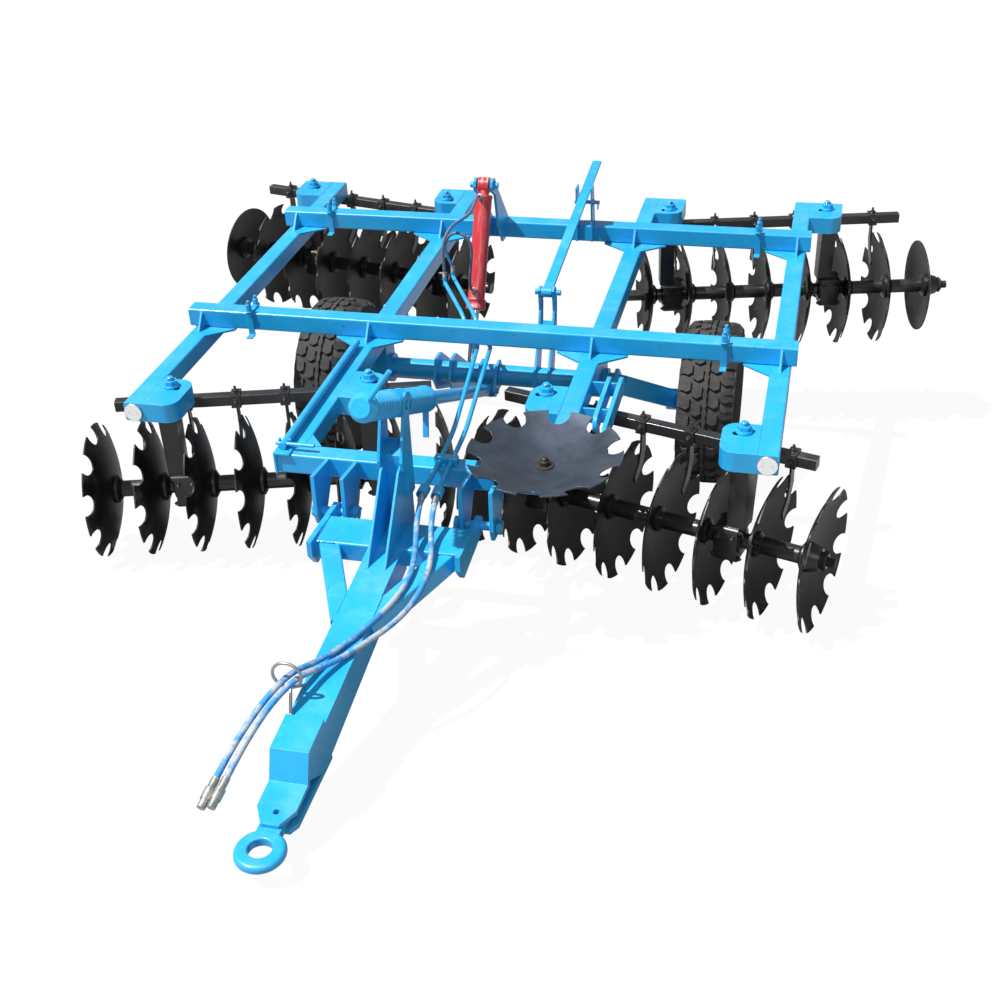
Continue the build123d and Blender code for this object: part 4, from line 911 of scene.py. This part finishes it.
class HARROW_OT_gang_parts(Operator):
    """Bolt up the bearing housings and the scrapers of the four gangs"""

    bl_idname = "harrow.gang_parts"
    bl_label = "Gang bolts"

    # Turned profiles, as (along, radius)
    CAP = ((0, 53), (5, 53), (8, 50), (8, 40), (12, 38), (12, 31.2), (0, 31.2))
    NIPPLE = ((0, 7), (5, 7), (6, 4), (11, 3.4), (13, 4.4), (16, 3))
    RIVET = ((0, 8), (2.5, 7.4), (4.2, 4), (4.6, 0))
    LOCK_PLATE = ((0, 33), (4, 33), (5, 31.5), (5, 30.2))

    # On a housing, from its middle: cover bolts and nipple as (rearward, up), seam bolts as (outward, up)
    COVER_BOLT = (47, 58)
    NIPPLE_AT = (-30, 75)
    SEAM_BOLT = (28, 40)

    # On a scraper: its clamp's bolts above and beside the bar, and its rivets as (rearward of the bar, up)
    CLAMP_TOP = 29
    CLAMP_SIDE = 31
    RIVETS = ((-30, 190), (-44, 138))

    # On a shaft, outward of the last seat
    PLATE_AT = 50.2
    NUT_AT = 56
    THREAD_AT = 74

    def execute(self, context):
        for gang in GANGS:
            for label, side in SIDES:
                self.housings(gang, label, side)
                self.scrapers(gang, label, side)
                self.shaft_end(gang, label, side)
        return {"FINISHED"}

    def housings(self, gang, label, side):
        """Caps, cover bolts, grease nipples and paint marks on the two housings."""
        start, outward, rearward = gang_axes(gang, side)
        work = Metalwork()
        marks = Metalwork()
        for index in GANGS[gang]["bearings"]:
            centre = start + outward * bearing_station(index, GANGS[gang]["dish"])
            for out in (-outward, outward):
                plane = centre + out * HOUSING_HALF
                work.turned(plane, out, self.CAP, 36)
                for a, b in ((-1, -1), (-1, 1), (1, -1), (1, 1)):
                    spot = plane + rearward * a * self.COVER_BOLT[0] + UP * b * self.COVER_BOLT[1]
                    work.bolt(spot, out, 17, a + b, 7)
                    marks.turned(spot + out * 15.2, out, ((0, 4.6), (0.8, 4.4), (1.1, 1)), 10)
            back, high = self.NIPPLE_AT
            work.turned(centre + UP * high + rearward * back, UP, self.NIPPLE, 12)
            for out in (-rearward, rearward):
                face = centre + out * HOUSING_SIDE
                seam = []
                for along, high in ((-1, -2), (-1, 2), (1, 2), (1, -2)):
                    seam.append(face + outward * along * HOUSING_HALF + UP * high)
                work.slab(seam, out, 1.2)
                for shift in (-self.SEAM_BOLT[0], self.SEAM_BOLT[0]):
                    spot = face + outward * shift + UP * self.SEAM_BOLT[1]
                    work.bolt(spot, out, 15, shift, 6)
                    marks.turned(spot + out * 13.6, out, ((0, 4.4), (0.8, 4.2), (1.1, 1)), 10)
        work.piece(f"housing_bolts_{gang}_{label}", "frame", "black")
        marks.piece(f"bolt_marks_{gang}_{label}", "frame", "yellow")

    def scrapers(self, gang, label, side):
        """Clamp bolts and blade rivets along the scraper bar."""
        start, outward, rearward = gang_axes(gang, side)
        dish = GANGS[gang]["dish"]
        outer, inner = GANGS[gang]["reach"]
        work = Metalwork()
        for index in range(1, GANG_COUNT + 1):
            hollow = -(index - 1) * PITCH - dish * BLADE_THICK
            blade = hollow if dish < 0 else hollow - BLADE_THICK
            if not inner < blade < outer - 20:
                continue
            clamp = start + outward * (blade + BLADE_THICK / 2) + rearward * SCRAPER_BACK + UP * SCRAPER_UP
            work.bolt(clamp + UP * self.CLAMP_TOP, UP, 19, index, 16)
            work.bolt(clamp - rearward * self.CLAMP_SIDE, -rearward, 17, index * 2, 5)
            work.bolt(clamp + rearward * self.CLAMP_SIDE, rearward, 17, index, 9)
            face = blade if dish < 0 else hollow
            for back, high in self.RIVETS:
                spot = start + outward * face + rearward * (SCRAPER_BACK + back) + UP * high
                work.turned(spot, outward * dish, self.RIVET, 14)
        work.piece(f"scraper_bolts_{gang}_{label}", "frame", "black")

    def shaft_end(self, gang, label, side):
        """Nut, lock plate and thread on the outer end of a gang."""
        start, outward, _ = gang_axes(gang, side)
        end = seat_faces(1, GANGS[gang]["dish"])[1]
        work = Metalwork()
        work.thread(start + outward * (end + self.THREAD_AT), outward, 19.5, 30, 3.2)
        work.turned(start + outward * (end + self.PLATE_AT), outward, self.LOCK_PLATE, 30)
        work.hexagon(start + outward * (end + self.NUT_AT), outward, 66, 17)
        body = f"gang_{gang}_{label}"
        work.piece(f"gang_nut_{gang}_{label}", body, "dark_steel")


class HARROW_OT_box_parts(Operator):
    """Add washers and threads to the gang pivots and the strap screws"""

    bl_idname = "harrow.box_parts"
    bl_label = "Pivot and strap bolts"

    # Heights of the pivot threads and of the washers under them, and of the strap washers
    PIVOT_THREAD_Z = -50
    WASHER_Z = LOW_TOP + 8.3
    STRAP_Z = 8

    def execute(self, context):
        pivots = Metalwork()
        for x, y in BOX_BOLTS:
            for side in (-1, 1):
                pivots.thread((side * x, y, self.PIVOT_THREAD_Z), UP, 13.8, 16, 2.8)
                pivots.turned((side * x, y, self.WASHER_Z), UP, ((0, 30), (3, 30), (4, 28), (4, 24)), 30)
        pivots.piece("pivot_threads", "frame", "blue")
        screws = Metalwork()
        for y0, place in STRAPS:
            for x in (-place, place):
                for y, top in ((y0 - 2, 42), (y0 + TUBE - 6, 34)):
                    screws.turned((x, y, self.STRAP_Z), UP, ((0, 16), (2.5, 16), (3.2, 15), (3.2, 12)), 24)
                    screws.thread((x, y, top), UP, 7.5, 15, 2.4)
        screws.piece("strap_threads", "frame", "blue")
        return {"FINISHED"}


class HARROW_OT_weld_beads(Operator):
    """Run the weld beads along the joints of the frame, the drawbar and the lift shaft"""

    bl_idname = "harrow.weld_beads"
    bl_label = "Weld beads"

    def frame_seams(self):
        """Seams of the frame, as (start, end, size)."""
        for y0 in (0, REAR_CROSS_Y):
            rear = y0 + TUBE
            for x in (-OUTER_X, -INNER_X, INNER_X, OUTER_X):
                for edge in (x - 39, x + 39):
                    yield (edge, y0 + 2, LOW_TOP + 1), (edge, rear - 2, LOW_TOP + 1), 4.2
                yield (x - 36, rear + 1, LOW_TOP + 2), (x + 36, rear + 1, LOW_TOP + 2), 4.5
                for rib in (x - 5, x + 5):
                    yield (rib, y0 - 1, -10), (rib, y0 - 1, -76), 3.2
                    yield (rib, y0 - 4, LOW_TOP + 1), (rib, y0 - 58, LOW_TOP + 1), 3.2
        rear = HITCH_REAR + 1
        for x in (-INNER_X, INNER_X):
            for edge in (x - 39, x + 39):
                yield (edge, rear, LOW_TOP - 6), (edge, rear, LOW_BOTTOM + 6), 4.2
            yield (x - 36, rear, LOW_TOP), (x + 36, rear, LOW_TOP), 4.2
        front = HITCH_FRONT - 1
        for x in EAR_X:
            for side in (-1, 1):
                for face in (side * x - 8.5, side * x + 8.5):
                    yield (face, front, LOW_TOP - 4), (face, front, LOW_BOTTOM + 4), 4
        front = REAR_CROSS_Y - 1
        for x in (LIFT_X - 48, LIFT_X - 32, LIFT_X + 32, LIFT_X + 48):
            yield (x, front, -4), (x, front, -74), 3.8

    def bar_seams(self):
        """Seams of the drawbar, as (start, end, size)."""
        front, rear, top = PIVOT_BEAM
        for side in (-1, 1):
            yield (side * 254, rear - 6, top + 1), (side * 254, front + 4, top + 1), 4
            yield (side * 183, front - 1, top - 1), (side * 249, front - 1, top - 1), 3.6
            yield (side * 61, -1580, bar_top(-1580) - 1), (side * 61, -1690, bar_top(-1690) - 1), 3.4

    def execute(self, context):
        draw = random.Random(7)
        for body, seams in (("frame", self.frame_seams()), ("drawbar", self.bar_seams())):
            work = Metalwork()
            for first, last, size in seams:
                work.bead(first, last, size, draw)
            work.piece(body + "_welds", body, "blue", 50)

        rings = Metalwork()
        radii = [3.4 * (0.84 + 0.2 * (k % 2)) for k in range(60)]
        for x in SHAFT_JOINTS:
            for face in (x - 7, x + 7):
                ring = [(face, *on_circle(SHAFT, SHAFT_R, angle)) for angle in around(60)]
                rings.swept(ring, radii, 6, closed=True)
        rings.piece("shaft_welds", "lift_shaft", "blue", 50)
        return {"FINISHED"}


class HARROW_OT_drawbar_parts(Operator):
    """Add the split pins of the drawbar's pivots and the bolt of the spare disc"""

    bl_idname = "harrow.drawbar_parts"
    bl_label = "Drawbar fittings"

    # The inner and the outer end of a drawbar pin, from the middle
    PIN_INNER = 187
    PIN_OUTER = 352

    def split_pin(self, work, centre, axis, size):
        """A split pin with its bent legs through the end of a pin."""
        centre, axis = Vector(centre), Vector(axis).normalized()
        u = across(axis)[0]
        eye = centre + u * (size * 1.2)
        head = [eye + spoke(u, axis, angle) * size * 0.28 for angle in around(14)]
        work.swept(head, size * 0.09, 7, closed=True)
        for sign in (-1, 1):
            leg = []
            for along, out in ((-0.95, 0.07), (0.95, 0.07), (1.2, 0.3), (1.25, 0.62)):
                leg.append(centre - u * size * along + axis * sign * size * out)
            work.swept(leg, size * 0.075, 7)

    def execute(self, context):
        pins = Metalwork()
        for side in (-1, 1):
            self.split_pin(pins, (side * self.PIN_INNER, *DRAW_PIVOT), (side, 0, 0), 26)
            pins.turned((side * self.PIN_OUTER, *DRAW_PIVOT), (side, 0, 0), ((0, 15), (2, 14), (3, 10)), 20)
        pins.piece("pivot_split_pins", "frame", "zinc")

        spare = Metalwork()
        low = LOW_TOP + DISC_THICK + 2.4
        spare.turned((*SPARE, low), UP, ((0, 34), (3, 34), (4, 32), (4, 20)), 32)
        spare.hexagon((*SPARE, low + 4), UP, 34, 17, 0.3)
        spare.thread((*SPARE, low + 21), UP, 11.5, 12)
        spare.piece("spare_bolt", "frame", "dark_steel")
        return {"FINISHED"}


class HARROW_OT_cylinder_parts(Operator):
    """Add the cylinder's rings, ports and pin washers, and the ring of the lock bar's pin"""

    bl_idname = "harrow.cylinder_parts"
    bl_label = "Cylinder fittings"

    # Raised rings on the barrel, as (along, rise)
    GLAND = ((-3, 0.5), (0, 6.5), (5, 6.8), (8, 5.2), (30, 5.2), (33, 6.6), (44, 6.6), (46.4, 4))
    COLLAR = ((-0.5, -4), (0.5, 2), (12, 2.4), (15, 0.4))

    # Places along the barrel from the mast pin
    GLAND_AT = BARREL_LENGTH - 46
    COLLAR_AT = 48
    PORTS_AT = (64, BARREL_LENGTH - 83)

    def execute(self, context):
        top = Vector((LIFT_X, *MAST_PIN))
        down = (Vector((LIFT_X, *LIFT_PIN)) - top).normalized()
        front = Vector((0, down.z, -down.y))
        red = Metalwork()
        for place, profile in ((self.GLAND_AT, self.GLAND), (self.COLLAR_AT, self.COLLAR)):
            raised = [(along, BARREL_R + rise) for along, rise in profile]
            red.turned(top + down * place, down, raised, 40)
        red.piece("cylinder_rings", "cylinder_barrel", "red")

        metal = Metalwork()
        for along in self.PORTS_AT:
            port = top + down * along + front * BARREL_R
            metal.hexagon(port + front * 2, front, 27, 9, 0.4)
            metal.turned(port + front * 11, front, ((0, 13.4), (1, 14), (6, 14), (7, 11.5), (19, 11.2)), 20)
        metal.turned(top + down * (BARREL_LENGTH + 0.4), down, ((0, 31), (2.5, 30), (3, 22), (3, 19.4)), 32)
        metal.piece("cylinder_ports", "cylinder_barrel", "zinc")

        washers = Metalwork()
        for side in (-1, 1):
            spot = (LIFT_X + side * 47, *MAST_PIN)
            washers.turned(spot, (side, 0, 0), ((0, 22), (4, 22), (5, 20), (5, 14.2)), 28)
        washers.piece("mast_pin_washers", "frame", "blue")

        lock = Metalwork()
        run = (Vector((0, *LOCK_END)) - Vector((0, *LOCK_PIN))).normalized()
        at = Vector((LOCK_X, REAR_CROSS_Y + 14, 0))
        at.z = LOCK_PIN[1] + (at.y + 6 - LOCK_PIN[0]) * run.z / run.y - 44
        for side in (-1, 1):
            spot = at + Vector((side * 41, 0, 0))
            lock.turned(spot, (side, 0, 0), ((0, 15), (3, 15), (4, 13), (4, 9.2)), 24)
        ring = [at + Vector((62, *on_circle((0, -16), 17, angle))) for angle in around(28)]
        lock.swept(ring, 2.0, 8, closed=True)
        lock.piece("lock_pin_ring", "frame", "zinc")
        return {"FINISHED"}


class HARROW_OT_reflectors(Operator):
    """Frame the round reflectors on the front ends of the outer beams"""

    bl_idname = "harrow.reflectors"
    bl_label = "Reflector rims"

    def execute(self, context):
        work = Metalwork()
        ahead = (0, -1, 0)
        rim = ((0, 38.6), (6, 38.6), (8, 37), (8, 34.5), (6.5, 33.4))
        rivet = ((0, 4), (1.6, 3.6), (2.4, 1.5))
        for side in (-1, 1):
            centre = Vector((side * OUTER_X, OUTER_FRONT, LOW_TOP - TUBE / 2))
            work.turned(centre - Vector((0, 0.2, 0)), ahead, rim, 40)
            for x in (-18, 18):
                work.turned(centre + Vector((x, -6.3, 0)), ahead, rivet, 12)
        work.piece("reflector_rims", "frame", "zinc")
        return {"FINISHED"}


class HARROW_OT_stage(Operator):
    """Lay the floor, hang the lights and set the camera"""

    bl_idname = "harrow.stage"
    bl_label = "Floor, light and camera"

    # The camera as it stood to the machine: place in millimetres, then turn, tilt and roll in radians
    CAMERA_AT = (1370.5, -4956.6, 2459.0)
    TURN = 0.2588
    TILT = 0.5718
    ROLL = 0.0489
    FOCAL = 1367.0
    IMAGE = 1000.0
    SENSOR = 36.0

    # The floor reaches this far in metres; the camera sees this share of its own white glow
    FLOOR_HALF = 45
    GLOW = 1.12
    GLOW_SHARE = 0.84

    def camera(self, context):
        """The camera at the photograph's viewing angle."""
        level = math.cos(self.TILT)
        forward = Vector((-math.sin(self.TURN) * level, math.cos(self.TURN) * level, -math.sin(self.TILT)))
        right = Vector((math.cos(self.TURN), math.sin(self.TURN), 0))
        down = forward.cross(right)
        rolled_right = right * math.cos(self.ROLL) + down * math.sin(self.ROLL)
        rolled_down = down * math.cos(self.ROLL) - right * math.sin(self.ROLL)
        turn = STANCE.to_3x3()
        axes = [turn @ rolled_right, turn @ -rolled_down, turn @ -forward]
        pose = Matrix([[axis[row] for axis in axes] for row in range(3)]).to_4x4()
        pose.translation = stand(self.CAMERA_AT)
        data = bpy.data.cameras.new("Photo camera")
        data.sensor_width = self.SENSOR
        data.sensor_fit = "HORIZONTAL"
        data.lens = self.FOCAL * self.SENSOR / self.IMAGE
        data.clip_start = 0.05
        data.clip_end = 200
        thing = bpy.data.objects.new("Photo camera", data)
        thing.matrix_world = pose
        context.scene.collection.objects.link(thing)
        context.scene.camera = thing

    def for_camera(self, tree, light, seen, share, socket):
        """Shows the camera a share of one shader, while the other lights the scene."""
        path = tree.nodes.new("ShaderNodeLightPath")
        part = tree.nodes.new("ShaderNodeMath")
        part.operation = "MULTIPLY"
        part.inputs[1].default_value = share
        mix = tree.nodes.new("ShaderNodeMixShader")
        tree.links.new(path.outputs["Is Camera Ray"], part.inputs[0])
        for k, node in enumerate((part, light, seen)):
            tree.links.new(node.outputs[0], mix.inputs[k])
        tree.links.new(mix.outputs[0], socket)

    def floor(self, context, colour):
        """A wide plain floor that keeps the machine's shadow."""
        mesh = bpy.data.meshes.new("studio_floor")
        half = self.FLOOR_HALF
        corners = [(-half, -half, 0), (half, -half, 0), (half, half, 0), (-half, half, 0)]
        mesh.from_pydata(corners, [], [(0, 1, 2, 3)])
        thing = bpy.data.objects.new("studio_floor", mesh)
        context.scene.collection.objects.link(thing)
        material = bpy.data.materials.new("Studio floor")
        material.use_nodes = True
        tree = material.node_tree
        shader = tree.nodes["Principled BSDF"]
        shader.inputs["Base Color"].default_value = (*colour, 1)
        shader.inputs["Roughness"].default_value = 0.95
        shader.inputs["Specular IOR Level"].default_value = 0.1
        glow = tree.nodes.new("ShaderNodeEmission")
        glow.inputs["Color"].default_value = (1, 1, 1, 1)
        glow.inputs["Strength"].default_value = self.GLOW
        self.for_camera(tree, shader, glow, self.GLOW_SHARE, tree.nodes["Material Output"].inputs[0])
        mesh.materials.append(material)

    def sky(self, context, strength):
        """An even sky that is white where it is seen."""
        world = bpy.data.worlds.new("Studio sky")
        context.scene.world = world
        world.use_nodes = True
        tree = world.node_tree
        light = tree.nodes["Background"]
        light.inputs["Color"].default_value = (0.93, 0.97, 1.0, 1)
        light.inputs["Strength"].default_value = strength
        seen = tree.nodes.new("ShaderNodeBackground")
        seen.inputs["Color"].default_value = (1, 1, 1, 1)
        self.for_camera(tree, light, seen, 1, tree.nodes["World Output"].inputs[0])

    def lamp(self, context, name, kind, strength, toward, size):
        """A lamp that shines along a direction."""
        data = bpy.data.lights.new(name, kind)
        data.energy = strength
        thing = bpy.data.objects.new(name, data)
        toward = Vector(toward).normalized()
        thing.rotation_mode = "QUATERNION"
        thing.rotation_quaternion = toward.to_track_quat("-Z", "Y")
        if kind == "SUN":
            data.angle = size
        else:
            data.shape = "DISK"
            data.size = size
            thing.location = Vector((0, 0, 0.6)) - toward * 8
        context.scene.collection.objects.link(thing)

    def execute(self, context):
        settings = context.scene.harrow_stage
        self.camera(context)
        self.floor(context, tuple(settings.floor))
        self.sky(context, settings.fill)
        self.lamp(context, "Key sun", "SUN", settings.key, (0.42, 0.36, -0.83), 0.02)
        self.lamp(context, "Soft front", "AREA", 120, (-0.25, 0.8, -0.6), 5)
        context.scene.view_settings.view_transform = "Standard"
        return {"FINISHED"}


class HARROW_PT_sidebar(Panel):
    """Buttons and settings in the sidebar"""

    bl_idname = "HARROW_PT_sidebar"
    bl_label = "Disc harrow"
    bl_space_type = "VIEW_3D"
    bl_region_type = "UI"
    bl_category = "Harrow"

    def draw(self, context):
        layout = self.layout
        for operator in STEPS:
            layout.operator(operator.bl_idname)
        for group, owner in SETTINGS.items():
            column = layout.column(heading=owner.__doc__)
            for key in owner.__annotations__:
                column.prop(getattr(context.scene, group), key)


SETTINGS = {
    "harrow_paint": HarrowPaint,
    "harrow_tyre": HarrowTyre,
    "harrow_spring": HarrowSpring,
    "harrow_stage": HarrowStage,
}
STEPS = (
    HARROW_OT_finishes, HARROW_OT_tyres, HARROW_OT_wheel_parts, HARROW_OT_springs, HARROW_OT_hoses,
    HARROW_OT_gang_parts, HARROW_OT_box_parts, HARROW_OT_weld_beads, HARROW_OT_drawbar_parts,
    HARROW_OT_cylinder_parts, HARROW_OT_reflectors, HARROW_OT_stage,
)


def register():
    """Registers the settings, the operators and the panel."""
    for owner in (*SETTINGS.values(), *STEPS, HARROW_PT_sidebar):
        bpy.utils.register_class(owner)
    for group, owner in SETTINGS.items():
        setattr(bpy.types.Scene, group, PointerProperty(type=owner))


def unregister():
    """Takes them all out again."""
    for group in SETTINGS:
        delattr(bpy.types.Scene, group)
    for owner in reversed((*SETTINGS.values(), *STEPS, HARROW_PT_sidebar)):
        bpy.utils.unregister_class(owner)


def main():
    """Runs every step, then writes the size of the packed and of the dressed machine."""
    register()
    for operator in STEPS:
        group, name = operator.bl_idname.split(".")
        getattr(getattr(bpy.ops, group), name)()


if __name__ == "__main__":
    main()
